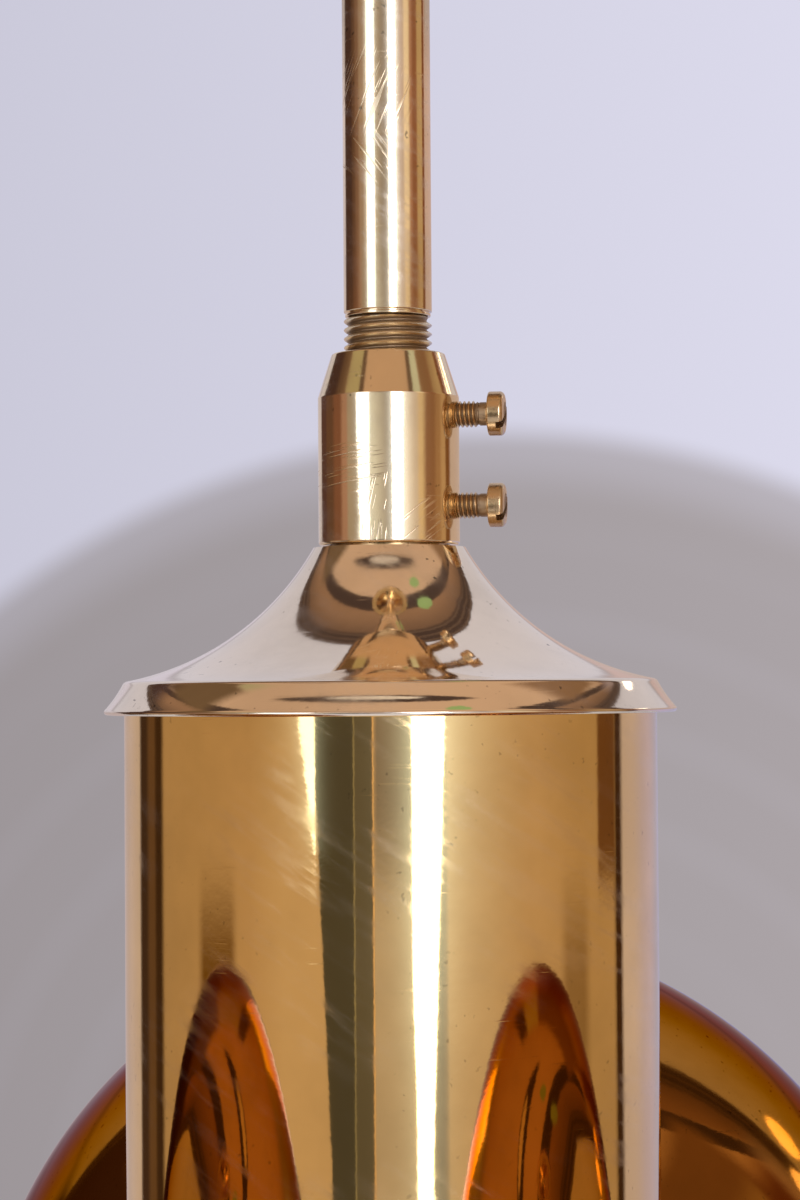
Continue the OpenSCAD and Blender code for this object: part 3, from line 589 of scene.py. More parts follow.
def rounded(points, radius, steps):
    """The closed outline with each corner rounded. A point may carry its own radius as a third number."""
    out = []
    count = len(points)
    for i in range(count):
        here = Vector(points[i][:2])
        before = Vector(points[i - 1][:2]) - here
        after = Vector(points[(i + 1) % count][:2]) - here
        r = points[i][2] if len(points[i]) > 2 else radius
        angle = before.angle(after)
        if r <= 0 or angle > 3.05 or here.x < 1e-6:
            out.append((here.x, here.y))
            continue
        reach = min(r / math.tan(angle / 2), 0.45 * before.length, 0.45 * after.length)
        r = reach * math.tan(angle / 2)
        towards = (before.normalized() + after.normalized()).normalized()
        centre = here + towards * (r / math.sin(angle / 2))
        start = here + before.normalized() * reach - centre
        end = here + after.normalized() * reach - centre
        turn = math.atan2(start.x * end.y - start.y * end.x, start.dot(end))
        for j in range(steps + 1):
            a = turn * j / steps
            c, s = math.cos(a), math.sin(a)
            out.append((centre.x + start.x * c - start.y * s, centre.y + start.x * s + start.y * c))
    return out


def drop_repeats(points):
    kept = []
    for p in points:
        if not kept or math.dist(p, kept[-1]) > 1e-4:
            kept.append(p)
    if math.dist(kept[0], kept[-1]) < 1e-4:
        kept.pop()
    return kept


# Meshes
def new_object(name, data):
    item = bpy.data.objects.new(name, data)
    bpy.context.scene.collection.objects.link(item)
    return item


def shade(mesh, normals):
    """Smooth shading, with a given normal at each corner."""
    mesh.polygons.foreach_set("use_smooth", [True] * len(mesh.polygons))
    mesh.normals_split_custom_set(normals)


def new_piece(name, verts, faces, normals):
    mesh = bpy.data.meshes.new(name)
    mesh.from_pydata(verts, [], faces)
    mesh.update()
    shade(mesh, normals)
    return new_object(name, mesh)


def spin_parts(outline, steps, sharp=32):
    """Vertices, faces and corner normals of a closed outline turned round the Z axis."""
    points = drop_repeats(outline)
    count = len(points)
    ends = [(b[0] - a[0], b[1] - a[1]) for a, b in zip(points, points[1:] + points[:1])]
    lengths = [math.hypot(*d) for d in ends]
    flat = [(d[1] / length, -d[0] / length) for d, length in zip(ends, lengths)]

    def corner(i, segment):
        """Normal of the segment at point i, blended with its neighbour where the turn is gentle."""
        other = (i - 1) % count if segment == i else i
        a, b = flat[segment], flat[other]
        if a[0] * b[0] + a[1] * b[1] < math.cos(sharp * DEG):
            return a
        n = [a[axis] * lengths[segment] + b[axis] * lengths[other] for axis in (0, 1)]
        size = math.hypot(*n)
        return (n[0] / size, n[1] / size)

    turns = [(math.cos(a), math.sin(a)) for a in (2 * math.pi * j / steps for j in range(steps))]
    verts, first = [], []
    for r, z in points:
        first.append(len(verts))
        if r < 1e-6:
            verts.append((0.0, 0.0, z))
        else:
            verts.extend((r * c, r * s, z) for c, s in turns)
    faces, normals = [], []
    for i in range(count):
        n = (i + 1) % count
        on_axis, next_on_axis = points[i][0] < 1e-6, points[n][0] < 1e-6
        if on_axis and next_on_axis:
            continue
        low, high = corner(i, i), corner(n, i)
        for j in range(steps):
            j2 = (j + 1) % steps
            ring = [(first[i], low, turns[j])]
            if not on_axis:
                ring = [(first[i] + step, low, turns[step]) for step in (j, j2)]
            if next_on_axis:
                ring.append((first[n], high, turns[j]))
            else:
                ring += [(first[n] + step, high, turns[step]) for step in (j2, j)]
            faces.append([v for v, _, _ in ring])
            normals.extend((a[0] * t[0], a[0] * t[1], a[1]) for _, a, t in ring)
    return verts, faces, normals


def build(name, parts, place=None):
    """One object from several (vertices, faces, normals) parts in millimetres, moved by a matrix."""
    place = place or Matrix.Identity(4)
    turn = place.to_3x3()
    verts, faces, normals = [], [], []
    for part_verts, part_faces, part_normals in parts:
        base = len(verts)
        verts.extend((place @ Vector(v)) * MM for v in part_verts)
        faces.extend([base + i for i in f] for f in part_faces)
        normals.extend((turn @ Vector(n)).normalized() for n in part_normals)
    return new_piece(name, verts, faces, normals)


def spin(name, outline, steps, place=None, sharp=32):
    return build(name, [spin_parts(outline, steps, sharp)], place)


def smooth_parts(verts, faces, limit=38):
    """Corner normals that blend the faces round a corner which lie within the limit of each other."""
    points = [Vector(v) for v in verts]
    around = [[] for _ in points]
    flat = []
    for i, face in enumerate(faces):
        total = Vector()
        for j, v in enumerate(face):
            total += points[v].cross(points[face[(j + 1) % len(face)]])
            around[v].append(i)
        flat.append(total)
    units = [n.normalized() for n in flat]
    least = math.cos(limit * DEG)
    normals = []
    for i, face in enumerate(faces):
        for v in face:
            total = Vector()
            for other in around[v]:
                if units[other].dot(units[i]) > least:
                    total += flat[other]
            normals.append(tuple(total.normalized() if total.length > 0 else units[i]))
    return verts, faces, normals


def block_parts(width, length, height):
    halves = (-0.5, 0.5)
    verts = [(x * width, y * length, z * height) for z in halves for y in halves for x in halves]
    faces = [[0, 2, 3, 1], [4, 5, 7, 6], [0, 1, 5, 4], [2, 6, 7, 3], [0, 4, 6, 2], [1, 3, 7, 5]]
    return smooth_parts(verts, faces, 1)


# How deep a rib goes at its four steps, as a share of its depth
RIB_FORM = (1.0, 0.3, 0.0, 0.3)


def ribbed_parts(radius, depth, count, low, high, edge):
    """A closed cylinder with straight ribs round it and chamfered ends."""
    steps = 4 * count
    turn = 2 * math.pi / steps
    verts = []
    for z, inset, rib in ((low, edge, 0), (low + edge, 0, 1), (high - edge, 0, 1), (high, edge, 0)):
        for j in range(steps):
            r = radius - inset - depth * rib * RIB_FORM[j % 4]
            verts.append((r * math.cos(turn * j), r * math.sin(turn * j), z))
    faces = [list(reversed(range(steps))), [3 * steps + j for j in range(steps)]]
    for i in range(3):
        for j in range(steps):
            n = (j + 1) % steps
            faces.append([i * steps + j, i * steps + n, (i + 1) * steps + n, (i + 1) * steps + j])
    return smooth_parts(verts, faces, 30)


# A thread's profile: share of the pitch, and height as a share of the depth
THREAD_PROFILE = ((0.0, 0.0), (0.05, 0.0), (0.40, 0.93), (0.5, 1.0), (0.60, 0.93), (0.95, 0.0))


def thread_parts(radius, depth, pitch, low, high, bore_r, fade, steps=96, profile=THREAD_PROFILE):
    """A screw thread between two heights, as a closed tube. The thread runs out over the fade lengths."""
    turns = range(-1, int((high - low) / pitch) + 2)
    bm = bmesh.new()
    grid = []
    for offset, rise in [((turn + phase) * pitch, rise) for turn in turns for phase, rise in profile]:
        ring = []
        for j in range(steps + 1):
            z = low + offset + pitch * j / steps
            share = min(1.0, max(0.0, min((z - low) / fade[0], (high - z) / fade[1])))
            r = radius - depth + depth * rise * share
            a = 2 * math.pi * j / steps
            ring.append(bm.verts.new((r * math.cos(a), r * math.sin(a), min(max(z, low), high))))
        grid.append(ring)
    for ring, above in zip(grid, grid[1:]):
        for j in range(steps):
            bm.faces.new((ring[j], ring[j + 1], above[j + 1], above[j]))
    bmesh.ops.remove_doubles(bm, verts=bm.verts, dist=2e-4)
    bmesh.ops.dissolve_degenerate(bm, dist=1e-4, edges=bm.edges)
    # Open ends are closed to the bore, or to a disc where there is no bore
    for level in (low, high):
        edges = [e for e in bm.edges if e.is_boundary and all(abs(v.co.z - level) < 1e-3 for v in e.verts)]
        if bore_r > 0:
            made = bmesh.ops.extrude_edge_only(bm, edges=edges)["geom"]
            for v in [v for v in made if isinstance(v, bmesh.types.BMVert)]:
                flat = Vector((v.co.x, v.co.y, 0)).normalized() * bore_r
                v.co = Vector((flat.x, flat.y, level))
        else:
            bmesh.ops.holes_fill(bm, edges=edges, sides=0)
    if bore_r > 0:
        bmesh.ops.bridge_loops(bm, edges=[e for e in bm.edges if e.is_boundary])
    bmesh.ops.recalc_face_normals(bm, faces=bm.faces)
    # bmesh leaves the vertices and faces in an order that changes from run to run
    ordered = sorted(bm.verts, key=lambda v: tuple(v.co))
    for i, v in enumerate(ordered):
        v.index = i
    verts = [tuple(v.co) for v in ordered]
    faces = sorted([v.index for v in face.verts] for face in bm.faces)
    bm.free()
    return smooth_parts(verts, faces)


def cut(item, tools):
    """Cuts the tool objects out of the item, and removes them."""
    for tool in tools:
        modifier = item.modifiers.new("cut", "BOOLEAN")
        modifier.operation = "DIFFERENCE"
        modifier.solver = "EXACT"
        modifier.object = tool
    bpy.context.view_layer.update()
    graph = bpy.context.evaluated_depsgraph_get()
    mesh = bpy.data.meshes.new_from_object(item.evaluated_get(graph))
    item.modifiers.clear()
    old = item.data
    item.data = mesh
    mesh.name = item.name
    bpy.data.meshes.remove(old)
    for tool in tools:
        bpy.data.objects.remove(tool)


def snapped(direction, normal, least):
    """The direction or its opposite where the normal is about the same, and else the normal itself."""
    side = direction.dot(normal)
    return direction if side > least else -direction if side < -least else normal


def set_normals(item, rule):
    """Corner normals by a rule that takes a corner's place and its face's normal."""
    mesh = item.data
    places = [v.co for v in mesh.vertices]
    shade(mesh, [tuple(rule(places[v], face.normal)) for face in mesh.polygons for v in face.vertices])


def along(direction, at):
    """Matrix that turns +Z to a direction and moves the origin, in millimetres."""
    turn = Vector((0, 0, 1)).rotation_difference(Vector(direction)).to_matrix().to_4x4()
    return Matrix.Translation(Vector(at)) @ turn


def rod(radius, length, place):
    """A plain cylinder to cut with."""
    return spin("tool", [(0, 0), (radius, 0), (radius, length), (0, length)], 64, place)


def coat(item, finish):
    """Gives an object the material of its finish."""
    material, slot = finish
    item.data.materials.clear()
    item.data.materials.append(material)


def dress(item, body, finish, *nodes):
    """Gives a piece the material of its finish and its body, and hides the CAD nodes that it stands for."""
    coat(item, finish)
    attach(item, body)
    if nodes:
        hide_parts(*nodes)


# Pieces
def trumpet(
    ridge_z, neck_r, drop, ridge_r, flare_r, rim_r, skirt_h,
    wall, neck_t, hole_r, hollow,
):
    """Outline of a sheet trumpet: flat neck, hollow flare, rounded ridge and slightly hollow skirt."""
    chord = math.hypot(ridge_r - neck_r, drop)
    away = math.sqrt(flare_r ** 2 - chord ** 2 / 4)
    centre = (
        (neck_r + ridge_r) / 2 + away * drop / chord,
        ridge_z + drop / 2 + away * (ridge_r - neck_r) / chord,
    )
    to_ridge = math.degrees(math.atan2(ridge_z - centre[1], ridge_r - centre[0])) % 360
    to_neck = math.degrees(math.atan2(ridge_z + drop - centre[1], neck_r - centre[0])) % 360
    outer = arc(centre, flare_r, to_ridge, to_neck, 60)
    inner = arc(centre, flare_r + wall, to_neck, to_ridge, 60)
    slant = math.hypot(rim_r - ridge_r, skirt_h)
    skirt_in = rim_r - wall * skirt_h / slant
    top = ridge_z + drop
    inner = [p for p in inner if p[1] < top - neck_t and p[0] < ridge_r - wall]
    skirt_top = (ridge_r - 0.9 * wall, ridge_z - 0.9 * wall)
    # The rim's outer edge is well rounded, and the skirt above it is bent inwards a little
    edge_r = rim_r + RIM_SPREAD
    tilt = math.atan2(edge_r - ridge_r, skirt_h)
    edge_x = edge_r - RIM_EDGE_R / math.tan(math.pi / 4 - tilt / 2)
    edge = arc((edge_x, ridge_z - skirt_h + RIM_EDGE_R), RIM_EDGE_R, -90, tilt / DEG, 8)
    low, high = Vector(edge[-1]), Vector((ridge_r, ridge_z))
    flare_side = [p for p in outer if math.dist(p, (ridge_r, ridge_z)) > RIDGE_FILLET]
    skirt = []
    last = 1 - RIDGE_FILLET / (high - low).length
    for i in range(1, 17):
        t = last * i / 16
        inward = 4 * hollow * t * (1 - t)
        skirt.append(tuple(low.lerp(high, t) - inward * Vector((math.cos(tilt), math.sin(tilt)))))
    ridge_start, ridge_end = Vector(skirt[-1]), Vector(flare_side[0])
    bend = []
    for i in range(1, 6):
        t = i / 6
        bend.append(tuple((1 - t) ** 2 * ridge_start + 2 * t * (1 - t) * high + t * t * ridge_end))
    outside = [(skirt_in, ridge_z - skirt_h)] + edge + skirt + bend + flare_side
    return outside + [(hole_r, top), (hole_r, top - neck_t)] + inner + [skirt_top]


def make_stem():
    low, high = box("stem_tube")
    r = high.x
    shoulder = low.z + THREAD_IN + THREAD_BARE
    top = high.z - TOP_THREAD
    ring = shoulder - 0.5
    shaft = [
        (STEM_BORE_R, ring), (r - 0.15, ring, 0.1), (r - 0.15, shoulder - 0.15, 0.1),
        (r - 0.4, shoulder - 0.15), (r - 0.4, shoulder), (r, shoulder, 0.12), (r, top, 0.3),
        (STEM_BORE_R, top),
    ]
    threads = [
        thread_parts(r, THREAD_DEPTH, THREAD_PITCH, low.z, ring, STEM_BORE_R, (0.8, 0.3)),
        thread_parts(r, THREAD_DEPTH, THREAD_PITCH, top, high.z, STEM_BORE_R, (0.5, 0.8)),
    ]
    return spin("stem_shaft", rounded(shaft, 0.03, 3), 128), build("stem_threads", threads)


def make_coupler():
    low, high = box("coupler")
    stem_low, stem_r = box("stem_tube")[0].z, radius_of("stem_tube")
    r = high.x
    outline = [
        (COUPLER_RECESS_R + 0.2, low.z, 0.1), (r, low.z, 0.35), (r, high.z - COUPLER_CONE_H, 0.5),
        (COUPLER_TOP_R, high.z, 0.3), (stem_r + 0.1, high.z, 0.15), (stem_r - 0.25, high.z - 0.4, 0.1),
        (stem_r - 0.25, stem_low, 0.05), (stem_r + 0.05, stem_low - 0.3, 0.05),
        (stem_r + 0.05, low.z + COUPLER_RECESS, 0.05), (COUPLER_RECESS_R + 0.1, low.z + COUPLER_RECESS, 0.1),
    ]
    return spin("coupler_turned", rounded(outline, 0.1, 6), 192)


def slotted(outline, place, face, width, depth, turn, steps=96):
    """A turned piece with a screwdriver slot across its face, at height face along its axis."""
    item = spin("tool", outline, steps, place)
    wide = 4 * max(p[0] for p in outline)
    across = Matrix.Translation((0, 0, face)) @ Matrix.Rotation(turn * DEG, 4, "Z")
    cut(item, [build("tool", [block_parts(width, wide, 2 * depth)], place @ across)])
    mesh = item.data
    verts = [tuple(v.co) for v in mesh.vertices]
    faces = [list(face.vertices) for face in mesh.polygons]
    shade(mesh, smooth_parts(verts, faces, 30)[2])
    return item


def make_screw(name, node, slot_turn):
    low, high = box(node)
    z = (low.z + high.z) / 2
    cosine, sine = math.cos(SCREW_ANGLE * DEG), math.sin(SCREW_ANGLE * DEG)
    tip = low.x / cosine + 0.1
    end = (high.x - SCREW_HEAD_R * abs(sine)) / cosine
    head = end - SCREW_HEAD_H
    neck = 1.0
    neck_r = SCREW_R - SCREW_DEPTH * 0.6
    outline = [
        (0, head - neck), (neck_r, head - neck, 0.05), (neck_r, head, 0.35), (SCREW_HEAD_R, head, 0.2),
        (SCREW_HEAD_R, end - 0.25, 0.5), (0, end),
    ]
    place = along((cosine, sine, 0), (0, 0, z))
    head_item = slotted(rounded(outline, 0.1, 8), place, end, SLOT_W, SLOT_H, slot_turn)
    threads = thread_parts(SCREW_R, SCREW_DEPTH, SCREW_PITCH, tip, head - neck, 0, (0.3, 0.5), 64)
    return join(name, [head_item, build("tool", [threads], place)])


def join(name, items):
    """One new object from several, which are removed, with their corner normals."""
    verts, faces, normals = [], [], []
    for item in items:
        mesh = item.data
        base = len(verts)
        verts.extend(tuple(v.co) for v in mesh.vertices)
        faces.extend([base + i for i in face.vertices] for face in mesh.polygons)
        normals.extend(tuple(n.vector) for n in mesh.corner_normals)
    for item in items:
        bpy.data.objects.remove(item)
    return new_piece(name, verts, faces, normals)


def make_cap():
    low, high = box("trumpet_cap")
    ridge_z = high.z - CAP_DROP
    outline = trumpet(
        ridge_z, CAP_NECK_R, CAP_DROP, radius_of("body_tube"), CAP_FLARE_R, high.x, ridge_z - low.z,
        CAP_WALL, CAP_NECK_T, CAP_HOLE_R, SKIRT_HOLLOW,
    )
    return spin("cap_spun", outline, 256)


def make_body():
    low, high = box("body_tube")
    r = high.x
    outline = [(r - BODY_WALL, low.z), (r, low.z), (r, high.z), (r - BODY_WALL, high.z)]
    tube = spin("body_drawn", rounded(outline, 0.15, 2), 256)
    arm_z = globe_centre(1).z
    tools = []
    for g in GLOBES:
        outward = Vector((globe_centre(g).x, globe_centre(g).y, 0)).normalized()
        tools.append(rod(ARM_HOLE_R, r + 5, along(outward, (0, 0, arm_z))))
    cut(tube, tools)

    def rule(at, normal):
        return snapped(Vector((at.x, at.y, 0)).normalized(), normal, 0.97)

    set_normals(tube, rule)
    return tube


def globe_centre(g):
    low, high = box(f"globe_shell_{g}")
    return plan_middle(low, high) + Vector((0, 0, high.z - (high.x - low.x) / 2))


def make_globe(g):
    low, high = box(f"globe_shell_{g}")
    r = (high.x - low.x) / 2
    centre = globe_centre(g)
    mouth = low.z + BEAD_R - centre.z
    mouth_r = math.sqrt(r * r - mouth * mouth)
    bead = (mouth_r - BEAD_R, mouth)
    start = math.degrees(math.atan2(mouth, mouth_r))
    outer = arc((0, 0), r, start, 90, 72)
    inner_r = r - GLOBE_WALL
    inner = arc((0, 0), inner_r, 90, math.degrees(math.asin((mouth + 1.2) / inner_r)), 72)
    roll = arc(bead, BEAD_R, 120, 380, 20)
    outline = [(0.0 if x < 1e-4 else x, z) for x, z in roll + outer[1:] + inner]
    shell = spin(f"globe_spun_{g}", outline, 192, Matrix.Translation(centre))
    hub = Vector((-centre.x, -centre.y, 0)).normalized()
    cut(shell, [rod(ARM_HOLE_R, r + 5, along(hub, centre))])
    middle = centre * MM

    def rule(at, normal):
        if at.z < (centre.z + mouth + 1.4) * MM:
            ring = Vector((at.x - middle.x, at.y - middle.y, 0)).normalized() * bead[0] * MM
            ring = Vector((middle.x + ring.x, middle.y + ring.y, (centre.z + mouth) * MM))
            if abs((at - ring).length - BEAD_R * MM) < 0.02 * MM:
                return (at - ring).normalized()
        return snapped((at - middle).normalized(), normal, 0.99)

    set_normals(shell, rule)
    return shell


def make_bottom():
    high = box("bottom_plate")[1]
    body_low = box("body_tube")[0].z
    sphere_r = (BOWL_R ** 2 + BOWL_H ** 2) / (2 * BOWL_H)
    under = body_low - PLATE_T
    edge = math.degrees(math.asin(BOWL_R / sphere_r))
    hole = math.degrees(math.asin(CAP_HOLE_R / sphere_r))
    centre_z = under - BOWL_H + sphere_r
    bowl = arc((0, centre_z), sphere_r, -90 + hole, -90 + edge, 40)
    inside = arc((0, centre_z + PLATE_T), sphere_r, -90 + edge - 3, -90 + hole, 40)
    rim = arc((high.x - PLATE_T / 2, under + PLATE_T / 2), PLATE_T / 2, -90, 90, 12)
    shoulder = radius_of("body_tube") - BODY_WALL - 0.1
    outline = bowl + rim + [(shoulder, body_low), (shoulder, high.z), (BOWL_R - PLATE_T, high.z)] + inside
    return spin("bottom_spun", outline, 192)


def make_finial():
    low, high = box("finial")
    ball_r = (high.z - low.z) * 0.375
    ball = (0.0, low.z + ball_r)
    start = math.degrees(math.acos(FINIAL_NECK_R / ball_r))
    outline = [(0.0, low.z)] + arc(ball, ball_r, -88, start, 40)
    outline += [
        (FINIAL_NECK_R, high.z - FINIAL_SEAT_H, 0.8), (high.x, high.z - FINIAL_SEAT_H, 1.0),
        (high.x, high.z, 0.5), (CAP_HOLE_R, high.z), (CAP_HOLE_R, high.z - FINIAL_HOLE_H),
        (0.0, high.z - FINIAL_HOLE_H),
    ]
    return spin("finial_turned", rounded(outline, 0, 6), 128)


def make_canopy():
    low, high = box("canopy_shell")
    ridge_z = high.z - CANOPY_SKIRT_H
    flat = trumpet(
        0, CANOPY_NECK_R, ridge_z - low.z, CANOPY_RIDGE_R, CANOPY_FLARE_R, high.x, CANOPY_SKIRT_H,
        CAP_WALL, CAP_WALL, CANOPY_HOLE_R, 0.0,
    )
    turn = Matrix.Translation((0, 0, ridge_z)) @ Matrix.Rotation(math.pi, 4, "X")
    return spin("canopy_spun", flat, 256, turn)


def make_bulb(g):
    low, high = box(f"lamp_bulb_{g}")
    r = (high.x - low.x) / 2
    ball_z = low.z + r
    ball = arc((0, ball_z), r, -90, BULB_SHOULDER, 48)
    p0, p3 = Vector(ball[-1]), Vector((BULB_NECK_R, high.z - 1.5))
    pull = 0.55 * (high.z - ball[-1][1])
    slope = Vector((-math.sin(BULB_SHOULDER * DEG), math.cos(BULB_SHOULDER * DEG)))
    p1, p2 = p0 + slope * pull, p3 - Vector((0, pull * 0.6))
    curve = []
    for i in range(1, 15):
        t = i / 14
        s = 1 - t
        curve.append(tuple(s ** 3 * p0 + 3 * t * s ** 2 * p1 + 3 * t * t * s * p2 + t ** 3 * p3))
    outer = [(max(0.0, x), z) for x, z in ball] + curve + [(BULB_NECK_R, high.z)]
    outer[0] = (0.0, low.z)
    inner = [(max(0.0, x - GLASS_T), z + (GLASS_T if z < ball_z - 8 else 0)) for x, z in reversed(outer)]
    inner[-1] = (0.0, low.z + GLASS_T)
    return spin(f"bulb_blown_{g}", outer + inner, 96, Matrix.Translation(plan_middle(low, high)))


def make_holder(g):
    """Porcelain body, threaded sleeve in its socket and threaded stub on top."""
    low, high = box(f"lampholder_{g}")
    shelf = high.z - STUB_H
    liner = SOCKET_R + LINER_T
    grip = [low.z + i * GRIP_H for i in range(4)]
    body = [
        (liner, low.z, 0.4), (GRIP_R, low.z, 0.7), (GRIP_R, grip[1], 0.7), (HOLDER_R, grip[1], 0.3),
        (HOLDER_R, grip[2], 0.3), (GRIP_R, grip[2], 0.7), (GRIP_R, grip[3], 0.7), (HOLDER_R, grip[3], 0.3),
        (HOLDER_R, shelf - CROWN_H, 1.5), (HOLDER_NECK_R, shelf, 0.5), (HOLDER_BORE_R, shelf),
        (HOLDER_BORE_R, low.z + SOCKET_H), (liner, low.z + SOCKET_H),
    ]
    start, end = low.z + 0.6, low.z + SOCKET_H - 1
    sleeve = [(liner - 0.02, start), (liner - 0.02, end)]
    for i in range(SLEEVE_STEPS, -1, -1):
        z = start + (end - start) * i / SLEEVE_STEPS
        sleeve.append((SOCKET_R + 0.12 - 0.1 * math.cos(2 * math.pi * (z - start) / LAMP_PITCH), z))
    place = Matrix.Translation(plan_middle(low, high))
    stub = thread_parts(
        STUB_THREAD_R, STUB_DEPTH, THREAD_PITCH, shelf - 0.3, high.z, STUB_BORE_R, (0.2, 0.6), 64,
    )
    return (
        spin(f"holder_glazed_{g}", rounded(body, 0.2, 4), 96, place),
        spin(f"holder_sleeve_{g}", sleeve, 96, place, 60),
        build(f"holder_stub_{g}", [stub], place),
    )


def make_lamp_cap(g):
    """Rolled screw shell with its skirt and contact, and the dark insulator between them."""
    low, high = box(f"lamp_cap_{g}")
    skirt_r = (high.x - low.x) / 2
    r = SOCKET_R - 0.05
    tip = high.z - LAMP_TIP_H
    place = Matrix.Translation(plan_middle(low, high))
    rim = low.z + LAMP_SKIRT_H
    skirt = [
        (r - 1.2, low.z), (skirt_r, low.z, 0.2), (r, rim, 0.6), (r, rim + 1.5, 0.3), (r - 1.2, rim + 1.5),
    ]
    contact = [(0, high.z - 0.8), (2.9, high.z - 0.8), (2.9, high.z - 0.3, 0.3), (0, high.z)]
    wave = [(i / 8, 0.5 - 0.5 * math.cos(2 * math.pi * i / 8)) for i in range(8)]
    parts = [
        spin_parts(rounded(skirt, 0.1, 4), 64),
        thread_parts(r, LAMP_DEPTH, LAMP_PITCH, rim + 1.4, tip, 0, (1.5, 1.5), 64, wave),
        spin_parts(rounded(contact, 0.05, 3), 64),
    ]
    cone = [
        (0, tip - 0.1), (r - 0.7, tip - 0.1), (r - 0.7, tip + 0.5, 0.4), (3.1, high.z - 0.6, 0.2),
        (0, high.z - 0.6),
    ]
    return (
        build(f"cap_shell_{g}", parts, place),
        spin(f"cap_insulator_{g}", rounded(cone, 0.1, 4), 64, place),
    )


def make_knob():
    low, high = box("canopy_screw")
    place = along((0, -1, 0), (0, 0, (low.z + high.z) / 2))
    end, tip = -low.y, -high.y
    start = end - KNOB_H
    collar = [(0, start - 0.5), (COLLAR_R, start - 0.5, 0.2), (COLLAR_R, start + 0.1), (0, start + 0.1)]
    parts = [
        thread_parts(SHANK_R, SHANK_DEPTH, SHANK_PITCH, tip, start - 0.3, 0, (0.4, 0.3), 48),
        spin_parts(rounded(collar, 0.1, 3), 48),
        ribbed_parts(high.x, KNOB_RIB_DEPTH, KNOB_RIBS, start, end, KNOB_CHAMFER),
    ]
    return build("knob_ribbed", parts, place)


def make_terminal_screws():
    low, high = box("terminal_block")
    x = (low.x + high.x) / 2
    floor = (low.z + high.z) / 2
    r = BLOCK_WELL_R - 0.15
    top = floor + BLOCK_SCREW_H
    outline = rounded([(0, floor), (r, floor), (r, top, 0.3), (0, top)], 0.05, 4)
    screws = []
    for i, turn in ((-1, 20), (0, 75), (1, 130)):
        place = Matrix.Translation((x, i * BLOCK_PITCH, 0))
        screws.append(slotted(outline, place, top, 0.5, 0.7, turn, 48))
    return join("terminal_screws", screws)


# The floor and the lights, in metres
FLOOR_R = 2.6
FLOOR_Z = -1.35
FLOOR_STEPS = 64
LIGHT_AIM = Vector((0, 0, -0.35))


def make_stage(material):
    turns = [2 * math.pi * i / FLOOR_STEPS for i in range(FLOOR_STEPS)]
    ring = [(FLOOR_R * math.cos(a), FLOOR_R * math.sin(a), FLOOR_Z) for a in turns]
    mesh = bpy.data.meshes.new("floor")
    mesh.from_pydata(ring, [], [list(range(FLOOR_STEPS))])
    mesh.materials.append(material)
    new_object("floor", mesh)


def make_lights():
    for name, at, size, power in (
        ("key_light", (-1.1, -1.3, 0.9), 1.0, 28), ("fill_light", (1.4, -0.9, 0.2), 1.2, 12),
    ):
        data = bpy.data.lights.new(name, "AREA")
        data.shape = "DISK"
        data.size = size
        data.energy = power
        lamp = new_object(name, data)
        lamp.location = at
        lamp.rotation_euler = (LIGHT_AIM - Vector(at)).to_track_quat("-Z", "Y").to_euler()
        lamp.visible_glossy = False


make_camera()
bpy.context.scene.view_settings.view_transform = "Standard"
make_world()
make_lights()

# Finishes: each is a material and the name of a slot
POLISHED, AGED, PLATED = "polished_brass", "aged_brass", "plated_steel"
SCREW_AXIS = (math.cos(SCREW_ANGLE * DEG), math.sin(SCREW_ANGLE * DEG), 0.0)
UPRIGHT = ((0, 0, 0), (0, 0, 1))
STEM_R = radius_of("stem_tube")
CAP_RIM_R = radius_of("trumpet_cap")
GLOBE_EDGE = (0.40, 0.265, 0.33)
# Colour of the painted shade in the roots of threads
THREAD_ROOT_SHADE = (0.30, 0.205, 0.125)
# Darker brown painted on the cap rim's outer edge
RIM_EDGE_DARK = (0.26, 0.12, 0.05)
BODY_WIPE = (80, 110, 640)
FINE_WIPE = (300, 300, 900)
STEM_MARKS = ((-2.8, -4.0, -297.0, 6.0, (0.0, 1.15, 0.0)), (-3.4, -3.6, -304.0, 4.0, (0.0, -0.9, 0.0)))
COUPLER_MARKS = (
    (-4.3, -6.8, -339.0, 3.4, (0.0, 0.15, 0.0)), (4.4, -6.7, -345.2, 3.4, (0.0, 0.7, 0.0)),
    (-1.2, -7.9, -346.4, 1.8, (0.0, 1.5, 0.0)), (0.5, -8.0, -342.0, 2.6, (0.0, 1.35, 0.0)),
)
BODY_BRASS = metal("body_brass", (0.93, 0.66, 0.28), 0.035, 0.4, 0.02, 0.15, 0.2, BODY_WIPE, 0.3), POLISHED
CAP_BRASS = metal(
    "cap_brass", (0.93, 0.81, 0.65), 0.05, 1.0, 0.05, 0.3, 0.35, (90, 90, 260), 0.5,
    darkening=(*UPRIGHT, CAP_RIM_R - 0.20, CAP_RIM_R - 0.02, RIM_EDGE_DARK),
), POLISHED
GLOBE_BRASS = metal("globe_brass", (0.50, 0.225, 0.045), 0.05, 0.8, 0.04, 0.3, 0.3, edge=GLOBE_EDGE), POLISHED
CANOPY_BRASS = metal(
    "canopy_brass", (0.68, 0.41, 0.15), 0.06, 0.8, 0.05, 0.3, 0.3, (60, 60, 240), 0.5,
), POLISHED
STEM_BRASS = metal(
    "stem_brass", (0.93, 0.75, 0.50), 0.075, 0.8, 0.06, 0.5, 0.5, FINE_WIPE, 0.8, marks=STEM_MARKS,
), POLISHED
THREAD_BRASS = metal(
    "thread_brass", (0.90, 0.74, 0.50), 0.14, 0.9, 0.15, 0.3, 0.8,
    darkening=(*UPRIGHT, STEM_R - 0.08, STEM_R - 0.45, THREAD_ROOT_SHADE),
), POLISHED
COUPLER_BRASS = metal(
    "coupler_brass", (0.93, 0.75, 0.50), 0.07, 0.9, 0.06, 0.5, 0.6, FINE_WIPE, 0.8, marks=COUPLER_MARKS,
), POLISHED
